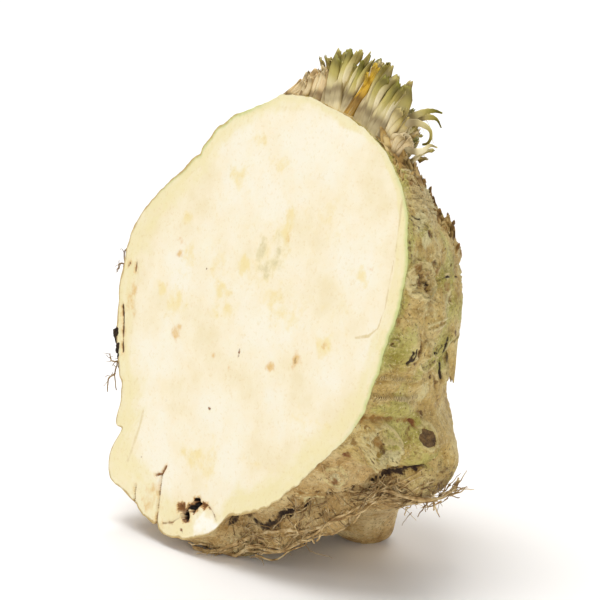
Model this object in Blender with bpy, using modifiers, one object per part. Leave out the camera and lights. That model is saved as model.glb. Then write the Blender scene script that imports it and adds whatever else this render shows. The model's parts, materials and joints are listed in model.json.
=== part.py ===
"""Half a celeriac, cut down through its crown, standing on its root end.

Plant frame, in millimetres: the cut face is the plane y = 0, the flesh fills y > 0, x runs to the
right of the face and z runs up it. A place on the skin is given by two angles in degrees: theta turns
in the cut face from +x towards +z, and phi goes from the rim of the cut (0) to the far back (90).
The whole model is built there, then leant back and set on the ground by stand_up.
"""

import math
import random

import bmesh
import bpy
import numpy as np
from mathutils import Matrix, Vector

MM = 0.001

# Driving sizes of the root
LEAN_DEG = 12.0
DEPTH = 58.0
MEAN_RADIUS = 60.0
SECTION_POWER = 2.15
GROUND_Z = -71.0
SEED = 7

# Outline of the cut face: angle in degrees, distance from the middle of the face
RIM = (
    (0, 53.0), (12, 57.0), (24, 61.0), (36, 64.5), (48, 66.0), (62, 64.5), (78, 63.5), (92, 63.5),
    (104, 61.0), (120, 60.0), (134, 58.0), (144, 59.0), (154, 63.0), (165, 66.5), (178, 67.0),
    (192, 66.5), (204, 66.0), (211, 67.5), (218, 74.0), (225, 81.5), (232, 78.0), (241, 75.5),
    (252, 72.5), (260, 67.5), (266, 62.5), (271, 57.0), (284, 54.0), (298, 51.0), (314, 48.5),
    (328, 50.5), (345, 52.0),
)

# Broad swells of the skin: theta, phi, height, reach
SWELLS = (
    (300, 42, 9.0, 34.0), (262, 34, 3.0, 20.0), (47, 30, -5.5, 24.0), (15, 45, -2.0, 24.0),
    (345, 50, -6.5, 14.0), (316, 36, 8.5, 16.0), (170, 50, 2.5, 20.0), (100, 55, -2.0, 18.0),
    (220, 55, 3.0, 16.0),
)

# Root lobes: theta, phi, height, reach along theta, reach along phi. The first three carry the weight.
LOBES = (
    (278, 13, 8.0, 21.0, 7.5), (249, 37, 11.0, 10.0, 10.0), (277, 40, 13.0, 10.0, 10.0),
    (301, 18, 3.5, 11.0, 5.0), (226, 20, 4.0, 12.0, 9.0), (322, 30, 2.5, 8.0, 6.0),
    (240, 62, 5.0, 12.0, 9.0), (205, 38, 4.5, 9.0, 12.0), (283, 62, 4.0, 14.0, 8.0),
)

# Stubs of side roots with a sunken scar: theta, phi, height, radius
KNOBS = (
    (19, 7, 2.2, 5.0), (329, 12, 3.4, 6.0), (334, 27, 1.2, 3.6), (25, 14, 1.0, 2.8), (1, 17, 1.2, 3.6),
    (314, 6, 1.4, 4.0), (21, 22, 1.2, 3.0), (340, 72, 1.8, 4.5), (30, 70, 1.6, 4.5), (75, 62, 2.0, 5.0),
    (128, 34, 2.2, 5.5), (150, 66, 1.8, 5.0), (168, 22, 2.0, 4.5), (188, 55, 2.4, 5.5), (214, 70, 2.2, 5.0),
    (200, 14, 2.0, 4.0), (238, 30, 2.4, 5.0), (262, 70, 2.4, 5.5), (300, 58, 2.4, 5.0), (312, 78, 1.6, 4.0),
    (232, 46, 2.0, 4.0), (276, 47, 2.0, 4.0), (108, 20, 1.2, 4.0), (352, 38, 1.0, 3.5),
)
SCAR_SHARE = 0.42
SCAR_DEPTH_SHARE = 0.75

# Creases of the skin: depth, half width, then the line as (theta, phi) points
CREASES = (
    (5.5, 3.2, ((298, 11), (308, 17), (313, 20.5), (320, 25), (326, 34))),
    (3.6, 2.6, ((268, 4.0), (279, 4.6), (290, 7.5), (299, 12))),
    (1.4, 3.2, ((346, 0), (347, 17), (338, 34), (334, 60))),
    (1.6, 2.8, ((339, 0), (339, 10), (338, 22))),
    (1.8, 3.6, ((196, 0), (200, 26), (212, 50), (236, 54), (262, 55), (288, 50))),
    (1.4, 3.4, ((150, 0), (146, 30), (162, 58), (190, 74))),
    (1.4, 3.2, ((116, 12), (96, 38), (60, 52), (20, 58), (352, 56))),
    (2.4, 3.2, ((234, 10), (240, 22), (250, 23), (262, 24), (275, 22), (284, 22))),
)

# Waves that make the skin uneven: wavelength, height, how many directions are added up
WAVES = ((34.0, 0.9, 9), (14.0, 0.45, 16))

# Crown of leaf stalks: its middle, its reach, the way the stalks point, and the stalks themselves
CROWN_THETA = 69.0
CROWN_RADIUS = 24.0
CROWN_RISE = 4.4
CROWN_SINK = 2.6
CROWN_SET_BACK = 1.2
STALK_WAY = (0.26, 0.20, 0.90)
STALK_FAN_SIDE = 0.16
STALK_FAN_BACK = 0.30
STALK_FIRST_PHI = 5.0
STALK_COUNT = 92
STALK_SPACING = 2.45
STALK_LENGTH = 15.5
STALK_WIDTH = 6.4
STALK_THICK = 1.5
STALK_SINK = 3.0
GOLDEN_ANGLE = 137.508

# Stalks that the knife laid open along the cut, left to right: foot, tip, width
FRONT_STALKS = (
    ((-4, 2, 62.5), (-2.5, 4, 68.5), 5.0),
    ((-1, 2, 62.5), (0.5, 4, 71), 5.0),
    ((2.5, 2, 62.5), (3.5, 4, 72), 5.0),
    ((6, 2, 62.5), (6, 5, 73.5), 5.5),
    ((9, 3, 62.5), (7.5, 6, 76), 5.5),
    ((13.5, 2, 62), (11.5, 5, 78.5), 7.0),
    ((15.5, 3.2, 61.5), (15.5, 6.5, 75.5), 6.0),
    ((18, 2, 61), (20, 7, 79), 6.0),
    ((20.5, 4, 59.5), (24, 8.5, 77), 6.0),
    ((25, 2, 58), (28.5, 7.5, 75), 6.0),
    ((28.5, 2.4, 56.5), (33.5, 6, 76.5), 6.5),
    ((31, 3.4, 55.5), (34.5, 8, 73), 6.5),
    ((34, 2, 54.3), (39.5, 6, 71), 8.0),
    ((37.5, 2.6, 52.5), (41, 6.5, 64.5), 6.5),
    ((40.5, 3, 50.5), (42.5, 5, 58.5), 7.0),
)

# The one yellow stalk: foot and tip, width and thickness
YELLOW_STALK = ((21.6, 1.9, 60.4), (28.8, 4.2, 75.6), 3.6, 1.4)

# Strips of stalk skin torn and curled at the right of the crown: thickness, then points of the strip
STRIPS = (
    (2.2, ((37.5, 3, 51.5), (38, 3.5, 56.5), (41, 4, 59.2), (44, 5, 60.5), (46.5, 6, 60.5),
           (48.8, 7, 59.4), (48.8, 8, 57.6), (47, 9, 55.8), (44.5, 9.5, 55.2))),
    (1.6, ((39, 3, 50), (42.8, 4, 53), (46.4, 5, 53), (48.6, 6, 53.6), (50, 7, 55.2), (51.4, 8.5, 55))),
    (1.8, ((36, 8, 55), (37.5, 8, 60), (39.5, 9, 62.2), (42, 11, 64), (44.5, 12, 64.6), (46.5, 13, 64.3))),
    (1.8, ((36.5, 10, 54), (38, 10, 60.2), (41, 11, 62.4), (43.5, 12, 62.8), (45, 13, 62.3), (46, 14, 60.4))),
)

# Dry brown leaf bases on the shoulder: how many, the line they lie along, length, width, thickness
SCALE_COUNT = 14
SCALE_LINE = ((46, 16), (48, 24), (44, 28), (40, 31), (38, 42))
SCALE_SIZE = (10.0, 7.0, 1.0)

# Flap of loose skin: foot and end as (theta, phi), width, thickness, how far its end stands off
FLAP = ((2, 50), (338, 61), 8.0, 0.9, 2.6)

# Hollow in the cut face: middle (x, z) and half sizes in x, y, z
HOLLOW = ((-14.6, -57.6), (4.2, 5.0, 2.1))

# Root fibres: name of the bunch, thickness, twigs, then the main strand as (theta, phi, lift)
FIBRES = (
    ("root_fibres_front", 1.7, 7, ((262, 7.5, 1.3), (270, 8.6, 1.6), (279, 9.6, 1.7), (288, 11, 1.8), (296, 13.4, 1.8), (303, 16.5, 2.2))),
    ("root_fibres_right", 1.6, 12, ((309, 19.5, 2.4), (313, 24, 2.4), (317, 31, 2.2), (318, 40, 2.2), (319, 48, 2.6), (322, 56, 4.2))),
    ("root_fibres_back", 1.6, 9, ((236, 25, 1.6), (231, 34, 2.0), (233, 45, 2.0), (243, 54, 2.2), (258, 58, 2.6))),
)
FIBRE_TWIG = 12.0
FLOOR_CLEARANCE = 1.2

# Fine rootlets on the left edge: name, thickness, then branches as (x, y, z) points
ROOTLETS = (
    ("rootlet_upper", 1.2, (
        ((-66.0, 2.0, 4.2), (-69.0, 2.6, 5.6), (-70.8, 2.8, 8.2), (-70.2, 3.0, 10.6)),
        ((-69.0, 2.6, 5.6), (-71.4, 2.0, 5.0), (-72.2, 2.4, 2.4)),
    )),
    ("rootlet_lower", 1.2, (
        ((-62.0, 2.4, -22.0), (-65.0, 2.6, -24.0), (-66.2, 2.8, -28.0), (-64.6, 3.0, -33.0)),
        ((-65.0, 2.6, -24.0), (-68.0, 2.2, -24.6), (-70.0, 2.6, -22.6)),
        ((-66.2, 2.8, -28.0), (-68.6, 2.4, -31.0), (-68.2, 2.6, -34.5)),
    )),
)

# Clump of black soil on the left edge: theta, phi, lift, half sizes out, back and up
SOIL = (194.0, 3.6, 1.4, (2.9, 3.4, 4.6))

# Mesh fineness and the gap kept between separate pieces
ROUND_STEPS = 106
BACK_STEPS = 28
PIECE_GAP = 0.35

# Colours, linear
SKIN_COLOUR = (0.43, 0.35, 0.15)
STALK_COLOUR = (0.50, 0.50, 0.25)
YELLOW_COLOUR = (0.70, 0.42, 0.05)
ROOT_COLOUR = (0.38, 0.25, 0.11)
SOIL_COLOUR = (0.02, 0.014, 0.01)


def periodic(angle, points):
    """Smooth closed curve through (angle, value) points, one cubic to each stretch."""
    a = np.array([p[0] for p in points], float)
    v = np.array([p[1] for p in points], float)
    a = np.concatenate([a[-2:] - 360, a, a[:3] + 360])
    v = np.concatenate([v[-2:], v, v[:3]])
    slope = np.gradient(v, a)
    slope[1:-1] = (v[2:] - v[:-2]) / (a[2:] - a[:-2])
    t = np.mod(angle, 360.0)
    i = np.clip(np.searchsorted(a, t, side="right") - 1, 1, len(a) - 3)
    h = a[i + 1] - a[i]
    s = (t - a[i]) / h
    start = (2 * s**3 - 3 * s**2 + 1) * v[i] + (s**3 - 2 * s**2 + s) * h * slope[i]
    end = (3 * s**2 - 2 * s**3) * v[i + 1] + (s**3 - s**2) * h * slope[i + 1]
    return start + end


def direction(theta, phi):
    """Unit vector from the middle of the cut face towards (theta, phi)."""
    t, p = np.radians(theta), np.radians(phi)
    return np.stack([np.cos(p) * np.cos(t), np.sin(p) + 0 * t, np.cos(p) * np.sin(t)], -1)


def arc_to(d, theta, phi):
    """Distance along the skin from directions d to one place."""
    return MEAN_RADIUS * np.arccos(np.clip(d @ direction(theta, phi), -1, 1))


def arc_to_line(d, line):
    """Distance along the skin from directions d to a line of (theta, phi) points."""
    nearest = np.full(d.shape[:-1], 1e9)
    ends = [direction(*p) for p in line]
    for a, b in zip(ends[:-1], ends[1:]):
        along = np.clip(((d - a) @ (b - a)) / ((b - a) @ (b - a)), 0, 1)
        gap = np.linalg.norm(d - (a + along[..., None] * (b - a)), axis=-1)
        nearest = np.minimum(nearest, gap * MEAN_RADIUS)
    return nearest


def waves(d):
    """Uneven skin: sine waves that run in many random directions, added up."""
    draw = np.random.default_rng(SEED)
    total = 0
    for length, height, count in WAVES:
        ways = draw.normal(size=(count, 3))
        ways /= np.linalg.norm(ways, axis=1, keepdims=True)
        turns = d @ ways.T * MEAN_RADIUS * 2 * math.pi / length
        total = total + height * math.sqrt(2 / count) * np.sin(turns + draw.uniform(0, 7, count)).sum(-1)
    return total


def skin_radius(theta, phi):
    """Distance from the middle of the cut face to the skin."""
    d = direction(theta, phi)
    t, p = np.radians(theta), np.radians(phi)
    rim = periodic(theta, RIM)
    fade = np.clip(phi / 10.0, 0, 1)
    side = rim + (MEAN_RADIUS - rim) * 0.5 * np.sin(p) ** 2
    section = (np.cos(p) / side) ** SECTION_POWER + (np.sin(p) / DEPTH) ** SECTION_POWER
    r = section ** (-1 / SECTION_POWER)
    for th, ph, height, reach in SWELLS:
        r = r + height * np.exp(-((arc_to(d, th, ph) / reach) ** 2)) * fade
    for th, ph, height, reach_theta, reach_phi in LOBES:
        turn = (np.mod(theta - th + 180, 360) - 180) * math.radians(1) * MEAN_RADIUS
        over = turn * math.cos(math.radians(ph)) / reach_theta
        up = (phi - ph) * math.radians(1) * MEAN_RADIUS / reach_phi
        r = r + height * np.exp(-((over**2 + up**2) ** 1.4)) * np.clip(phi / 4.0, 0, 1)
    for th, ph, height, radius in KNOBS:
        away = arc_to(d, th, ph) / radius
        scar = np.exp(-((away / SCAR_SHARE) ** 4)) * SCAR_DEPTH_SHARE
        r = r + height * (np.exp(-(away**4)) - scar) * np.clip(phi / 3.0, 0, 1)
    for depth, half_width, line in CREASES:
        r = r - depth * np.exp(-((arc_to_line(d, line) / half_width) ** 2)) * np.clip(phi / 2.0, 0, 1)
    return r + waves(d) * fade


def skin_point(theta, phi, lift=0.0):
    """Point on the skin, or lift above it, in the plant frame."""
    d = direction(float(theta), float(phi))
    return Vector(d * (float(skin_radius(np.array(float(theta)), np.array(float(phi)))) + lift))


def material(name, colour, roughness):
    """Plain surface for one kind of piece."""
    made = bpy.data.materials.new(name)
    made.use_nodes = True
    shader = made.node_tree.nodes["Principled BSDF"]
    shader.inputs["Base Color"].default_value = (*colour, 1)
    shader.inputs["Roughness"].default_value = roughness
    return made


def collection(name):
    """New collection in the scene."""
    made = bpy.data.collections.new(name)
    bpy.context.scene.collection.children.link(made)
    return made


def add_object(name, mesh, home, surface=None):
    """Object that holds a mesh, in a collection."""
    made = bpy.data.objects.new(name, mesh)
    home.objects.link(made)
    if surface:
        mesh.materials.append(surface)
    return made


def hide(piece):
    """Marks a cutter or a guide, which is no part of the model."""
    piece.hide_render = True
    piece.display_type = "WIRE"


def apply_boolean(piece, operation, tool, solver="MANIFOLD"):
    """Joins or cuts piece with an object or a whole collection, and applies it."""
    step = piece.modifiers.new(operation, "BOOLEAN")
    step.operation = operation
    step.solver = solver
    if isinstance(tool, bpy.types.Collection):
        step.operand_type = "COLLECTION"
        step.collection = tool
    else:
        step.object = tool
    bpy.context.view_layer.update()
    result = bpy.data.meshes.new_from_object(piece.evaluated_get(bpy.context.evaluated_depsgraph_get()))
    piece.modifiers.remove(step)
    piece.data = result
    if isinstance(tool, bpy.types.Collection):
        for used in list(tool.objects):
            bpy.data.objects.remove(used)
        bpy.data.collections.remove(tool)


def keep_largest(piece):
    """Drops the loose scraps that a cut has left."""
    bm = bmesh.new()
    bm.from_mesh(piece.data)
    bm.verts.ensure_lookup_table()
    left = set(bm.verts)
    groups = []
    while left:
        stack = [left.pop()]
        group = set(stack)
        while stack:
            for edge in stack.pop().link_edges:
                for vert in edge.verts:
                    if vert in left:
                        left.discard(vert)
                        group.add(vert)
                        stack.append(vert)
        groups.append(group)
    groups.sort(key=len)
    for group in groups[:-1]:
        bmesh.ops.delete(bm, geom=list(group), context="VERTS")
    bm.to_mesh(piece.data)
    bm.free()


def bulb_mesh(name, grow=0.0):
    """Half a sphere with its pole at the back, each point moved out to the skin; the cut face is flat."""
    bm = bmesh.new()
    bmesh.ops.create_uvsphere(bm, u_segments=ROUND_STEPS, v_segments=2 * BACK_STEPS, radius=1)
    bmesh.ops.rotate(bm, verts=bm.verts, matrix=Matrix.Rotation(-math.pi / 2, 3, "X"))
    front = [v for v in bm.verts if v.co.y < -1e-4]
    bmesh.ops.delete(bm, geom=front, context="VERTS")
    bm.verts.index_update()
    rim = [e for e in bm.edges if len(e.link_faces) == 1]
    bmesh.ops.edgeloop_fill(bm, edges=rim)
    co = np.array([v.co for v in bm.verts])
    theta = np.degrees(np.arctan2(co[:, 2], co[:, 0]))
    phi = np.degrees(np.arcsin(np.clip(co[:, 1], 0, 1)))
    radius = skin_radius(theta, phi) + grow
    for vert, d, r in zip(bm.verts, direction(theta, phi), radius):
        vert.co = Vector(d * r) * MM
        if phi[vert.index] < 1e-3:
            vert.co.y = -grow * MM
    bmesh.ops.recalc_face_normals(bm, faces=bm.faces)
    mesh = bpy.data.meshes.new(name)
    bm.to_mesh(mesh)
    bm.free()
    return mesh


def blade(name, home, base, along, outward, length, width, thick, cup=0.5, bend=0.0, slant=0.0, steps=(3, 2)):
    """Thick leaf-base or scale: a grid rolled into a gutter and bent outwards, then given its thickness.

    base is where it is rooted, along the way it points and outward the way its rounded back faces.
    Across the grid u goes from -1 to 1 and along it v from 0 to 1; the gutter is an arc of cup radians.
    """
    along = along.normalized()
    outward = (outward - outward.dot(along) * along).normalized()
    side = along.cross(outward)
    bm = bmesh.new()
    bmesh.ops.create_grid(bm, x_segments=steps[0], y_segments=steps[1], size=1)
    for vert in bm.verts:
        u, v = vert.co.x, (vert.co.y + 1) / 2
        half = width / 2 * (1 - 0.3 * v)
        across = half * math.sin(u * cup) / math.sin(cup)
        back = half * (math.cos(u * cup) - 1) / math.sin(cup) + bend * v * v
        vert.co = (base + side * across + outward * back + along * (length * v * (1 + slant * u))) * MM
    bmesh.ops.recalc_face_normals(bm, faces=bm.faces)
    mesh = bpy.data.meshes.new(name)
    bm.to_mesh(mesh)
    bm.free()
    piece = add_object(name, mesh, home)
    wall = piece.modifiers.new("wall", "SOLIDIFY")
    wall.thickness = thick * MM
    wall.offset = 0
    return piece


def as_mesh(piece):
    """Replaces an object by one of the same name with its evaluated mesh, loose caps welded."""
    bpy.context.view_layer.update()
    mesh = bpy.data.meshes.new_from_object(piece.evaluated_get(bpy.context.evaluated_depsgraph_get()))
    bm = bmesh.new()
    bm.from_mesh(mesh)
    bmesh.ops.remove_doubles(bm, verts=bm.verts, dist=1e-6)
    bmesh.ops.recalc_face_normals(bm, faces=bm.faces)
    bm.to_mesh(mesh)
    bm.free()
    name, homes = piece.name, list(piece.users_collection)
    bpy.data.objects.remove(piece)
    made = bpy.data.objects.new(name, mesh)
    for home in homes:
        home.objects.link(made)
    return made


def strand(name, home, points, thick, tip_share=0.45):
    """Root or strip: a tube along points that thins towards its tip."""
    curve = bpy.data.curves.new(name, "CURVE")
    curve.dimensions = "3D"
    curve.bevel_depth = thick / 2 * MM
    curve.bevel_resolution = 0
    curve.use_fill_caps = True
    line = curve.splines.new("POLY")
    line.points.add(len(points) - 1)
    for i, (place, point) in enumerate(zip(line.points, points)):
        place.co = (*(point * MM), 1)
        place.radius = 1 - (1 - tip_share) * i / (len(points) - 1)
    piece = bpy.data.objects.new(name, curve)
    home.objects.link(piece)
    return as_mesh(piece)


def smooth_route(points, count):
    """Points at equal parameter steps on a smooth curve through the given ones."""
    given = [Vector(p) for p in points]
    given = [2 * given[0] - given[1], *given, 2 * given[-1] - given[-2]]
    route = []
    for k in range(count):
        place = k / (count - 1) * (len(given) - 3)
        i = min(int(place), len(given) - 4)
        t = place - i
        a, b, c, d = given[i : i + 4]
        curve = 2 * b + (c - a) * t + (2 * a - 5 * b + 4 * c - d) * t * t + (3 * b - 3 * c + d - a) * t**3
        route.append(curve / 2)
    return route


def crown_place(k):
    """Where stalk k of the crown is rooted: a spiral over the crown, as (theta, phi, reach)."""
    reach = STALK_SPACING * math.sqrt(k)
    turn = math.radians(k * GOLDEN_ANGLE)
    theta = CROWN_THETA - math.degrees(reach * math.cos(turn) / MEAN_RADIUS)
    phi = math.degrees(reach * math.sin(turn) / MEAN_RADIUS)
    return theta, phi, reach


def stalk_length(theta, draw):
    """Stalks are torn short at the left end of the crown and long in its middle."""
    from_left = min(max((CROWN_THETA + 23 - theta) / 17.0, 0.22), 1.0)
    return STALK_LENGTH * from_left * draw.uniform(0.72, 1.08)


def make_pad(home):
    """Low round pad that the stalks stand on, set back a little from the cut."""
    axis = Vector(direction(CROWN_THETA, 0.0))
    side = Vector((axis.z, 0, -axis.x))
    turn = Matrix((side, (0, 1, 0), axis)).transposed()
    middle = skin_point(CROWN_THETA, 0.0)
    bm = bmesh.new()
    bmesh.ops.create_uvsphere(bm, u_segments=22, v_segments=10, radius=1)
    for vert in bm.verts:
        x, y, z = vert.co
        rise = z * (CROWN_RISE + CROWN_SINK) / 2 + (CROWN_RISE - CROWN_SINK) / 2 - CROWN_RISE / 2
        vert.co = (middle + turn @ Vector((x * CROWN_RADIUS, y * CROWN_RADIUS, rise))) * MM
    mesh = bpy.data.meshes.new("leaf_stalks")
    bm.to_mesh(mesh)
    bm.free()
    return add_object("leaf_stalks", mesh, home)


def make_crown(home, surface, grown, front, yellow_room):
    """Leaf stalks cut short, packed in a spiral on a low pad with their backs turned out, and torn strips."""
    draw = random.Random(SEED)
    axis = Vector(direction(CROWN_THETA, 0.0))
    crown = make_pad(home)
    apply_boolean(crown, "DIFFERENCE", front[CROWN_SET_BACK])
    stalks = collection("stalks")
    for k, (foot, tip, width) in enumerate(FRONT_STALKS):
        foot, tip = Vector(foot), Vector(tip)
        along = (tip - foot).normalized()
        out = (foot.normalized() - axis) * 0.8 + Vector((0.18, -0.5, 0))
        blade(
            f"front_stalk_{k}", stalks, foot - along * STALK_SINK, along, out, (tip - foot).length + STALK_SINK,
            width, STALK_THICK * draw.uniform(0.9, 1.3), cup=draw.uniform(0.5, 0.8),
            bend=draw.uniform(-0.5, 1.0), slant=draw.uniform(-0.15, 0.15), steps=(3, 3),
        )
    for k in range(1, STALK_COUNT):
        theta, phi, reach = crown_place(k)
        if phi < STALK_FIRST_PHI or reach > CROWN_RADIUS - 1.5:
            continue
        base = skin_point(theta, phi)
        out = Vector(direction(theta, phi)) - axis
        out.normalize()
        share = reach / CROWN_RADIUS
        fan = Vector((out.x * STALK_FAN_SIDE, out.y * STALK_FAN_BACK, out.z * STALK_FAN_SIDE)) * share
        along = Vector(STALK_WAY) + fan + Vector((draw.uniform(-0.07, 0.07), draw.uniform(-0.06, 0.06), 0))
        blade(
            f"stalk_{k}", stalks, base - along.normalized() * STALK_SINK, along, out,
            stalk_length(theta, draw) + STALK_SINK,
            STALK_WIDTH * draw.uniform(0.8, 1.15), STALK_THICK * draw.uniform(0.85, 1.25),
            cup=draw.uniform(0.5, 1.0), bend=draw.uniform(-0.4, 2.0), slant=draw.uniform(-0.22, 0.22),
        )
    for i, (thick, points) in enumerate(STRIPS):
        strand(f"strip_{i}", stalks, smooth_route(points, 12), thick, 0.7)
    apply_boolean(crown, "UNION", stalks)
    apply_boolean(crown, "DIFFERENCE", yellow_room)
    apply_boolean(crown, "DIFFERENCE", grown)
    apply_boolean(crown, "DIFFERENCE", front[0.0])
    keep_largest(crown)
    crown.data.materials.append(surface)
    return crown


def make_yellow(name, home, room):
    """The yellow stalk, or the room it needs in the crown."""
    foot, tip, width, thick = YELLOW_STALK
    foot, tip = Vector(foot), Vector(tip)
    along = (tip - foot).normalized()
    piece = blade(
        name, home, foot - along * room, along, Vector((0.2, -1, 0)),
        (tip - foot).length + 2 * room, width + 2 * room, thick + 2 * room, cup=0.7, slant=0.12,
    )
    return as_mesh(piece)


def shoulder_scales(home):
    """Dry leaf bases along the shoulder, rooted in the skin and peeling outwards away from the crown."""
    draw = random.Random(SEED + 1)
    axis = Vector(direction(CROWN_THETA, 0.0))
    for i in range(SCALE_COUNT):
        place = (i + draw.uniform(0.1, 0.9)) / SCALE_COUNT * (len(SCALE_LINE) - 1)
        k = min(int(place), len(SCALE_LINE) - 2)
        a, b = SCALE_LINE[k], SCALE_LINE[k + 1]
        theta = a[0] + (b[0] - a[0]) * (place - k) + draw.uniform(-2.5, 2.5)
        phi = a[1] + (b[1] - a[1]) * (place - k) + draw.uniform(-2, 3)
        normal = Vector(direction(theta, phi))
        away = (normal * normal.dot(axis) - axis).normalized()
        turned = away + normal * draw.uniform(0.1, 0.42) + normal.cross(away) * draw.uniform(-0.7, 0.5)
        length, width, thick = SCALE_SIZE
        blade(
            f"scale_{i}", home, skin_point(theta, phi, -1.4), turned, normal,
            length * draw.uniform(0.7, 1.2), width * draw.uniform(0.6, 1.1), thick,
            cup=0.6, bend=draw.uniform(0.2, 1.4), slant=draw.uniform(-0.3, 0.3), steps=(2, 2),
        )


def skin_flap(home):
    """Flap of skin that has come loose at its lower end."""
    (theta, phi), end, width, thick, off = FLAP
    foot = skin_point(theta, phi, -1.2)
    tip = skin_point(*end, off)
    blade("flap", home, foot, tip - foot, Vector(direction(theta, phi)), (tip - foot).length, width, thick, cup=0.5)


def above_floor(point):
    """Lifts a point in the plant frame so that it clears the floor."""
    lean = math.radians(LEAN_DEG)
    height = point.z * math.cos(lean) - point.y * math.sin(lean)
    missing = GROUND_Z + FLOOR_CLEARANCE + 0.8 - height
    if missing > 0:
        point = point + Vector((0, -math.sin(lean), math.cos(lean))) * missing
    return point


def make_fibres(name, home, surface, grown, thick, twig_count, spine, seed):
    """Bunch of root fibres: one strand over the skin and twigs that leave it on both sides."""
    draw = random.Random(seed)
    angles = smooth_route(spine, 13)
    route = [above_floor(skin_point(p.x, p.y, p.z)) for p in angles]
    bunch = strand(name, home, route, thick, 0.6)
    twigs = collection(name + "_twigs")
    for i in range(twig_count):
        k = 1 + int((i + draw.random()) / twig_count * 11)
        ahead = (route[k + 1] - route[k - 1]).normalized()
        normal = route[k].normalized()
        across = ahead.cross(normal) * draw.choice((-1, 1))
        way = (ahead * draw.uniform(0.2, 1.1) + across * draw.uniform(0.5, 1.0)).normalized()
        point = route[k]
        points = [point]
        for _ in range(5):
            point = point + way * (FIBRE_TWIG / 5 * draw.uniform(0.7, 1.3))
            point = point + Vector((draw.uniform(-1, 1), draw.uniform(-1, 1), draw.uniform(-1, 1))) * 0.5
            lift = point.length - skin_length(point)
            if lift < 1.5:
                point = point + point.normalized() * (1.5 - lift)
            point = above_floor(point)
            points.append(point)
        strand(f"{name}_{i}", twigs, points, thick * 0.75, 0.7)
    apply_boolean(bunch, "UNION", twigs)
    apply_boolean(bunch, "DIFFERENCE", grown)
    keep_largest(bunch)
    bunch.data.materials.append(surface)
    return bunch


def skin_length(point):
    """Distance from the middle of the face to the skin, in the direction of a point."""
    theta = math.degrees(math.atan2(point.z, point.x))
    phi = math.degrees(math.asin(point.y / point.length))
    return float(skin_radius(np.array(theta), np.array(phi)))


def make_rootlet(name, home, surface, grown, thick, branches):
    """Forked rootlet that stands off the left edge."""
    piece = strand(name, home, smooth_route(branches[0], 8), thick, 0.6)
    more = collection(name + "_branches")
    for i, points in enumerate(branches[1:]):
        strand(f"{name}_{i}", more, smooth_route(points, 6), thick * 0.85, 0.7)
    apply_boolean(piece, "UNION", more)
    apply_boolean(piece, "DIFFERENCE", grown)
    keep_largest(piece)
    piece.data.materials.append(surface)
    return piece


def make_soil(home, surface, grown):
    """Crumb of soil: a round body pushed in and out by waves."""
    theta, phi, lift, size = SOIL
    middle = skin_point(theta, phi, lift)
    bm = bmesh.new()
    bmesh.ops.create_icosphere(bm, subdivisions=3, radius=1)
    co = np.array([v.co for v in bm.verts])
    bumpy = 1 + waves(co) * 0.16
    for vert, d, b in zip(bm.verts, co, bumpy):
        vert.co = (middle + Vector(d * np.array(size)) * b) * MM
    mesh = bpy.data.meshes.new("soil_clump")
    bm.to_mesh(mesh)
    bm.free()
    piece = add_object("soil_clump", mesh, home)
    apply_boolean(piece, "DIFFERENCE", grown)
    keep_largest(piece)
    piece.data.materials.append(surface)
    return piece


def box(name, home, low, high):
    """Box between two corners in the plant frame or the standing one."""
    low, high = Vector(low), Vector(high)
    bm = bmesh.new()
    bmesh.ops.create_cube(bm, size=1)
    for vert in bm.verts:
        vert.co = ((low + high) / 2 + Vector(c * s for c, s in zip(vert.co, high - low))) * MM
    mesh = bpy.data.meshes.new(name)
    bm.to_mesh(mesh)
    bm.free()
    piece = add_object(name, mesh, home)
    hide(piece)
    return piece


def hollow(home):
    """Lens-shaped hollow that opens in the cut face."""
    (x, z), (half_x, half_y, half_z) = HOLLOW
    bm = bmesh.new()
    bmesh.ops.create_uvsphere(bm, u_segments=14, v_segments=8, radius=1)
    for vert in bm.verts:
        vert.co = Vector((x + vert.co.x * half_x, vert.co.y * half_y, z + vert.co.z * half_z)) * MM
    mesh = bpy.data.meshes.new("hollow")
    bm.to_mesh(mesh)
    bm.free()
    piece = add_object("hollow", mesh, home)
    hide(piece)
    return piece


def stand_up(pieces, cutters):
    """Leans every piece back, trims the root tips level, and puts the model's foot at the origin."""
    lean = Matrix.Rotation(math.radians(-LEAN_DEG), 4, "X")
    for piece in pieces:
        piece.data.transform(lean)
    ground = box("ground", cutters, (-150, -150, GROUND_Z - 60), (150, 150, GROUND_Z))
    apply_boolean(pieces[0], "DIFFERENCE", ground)
    keep_largest(pieces[0])
    corners = np.concatenate([np.array([v.co for v in p.data.vertices]) for p in pieces])
    low, high = corners.min(0), corners.max(0)
    shift = Vector((-(low[0] + high[0]) / 2, -(low[1] + high[1]) / 2, -low[2]))
    for piece in pieces:
        piece.data.transform(Matrix.Translation(shift))
    return shift


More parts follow.
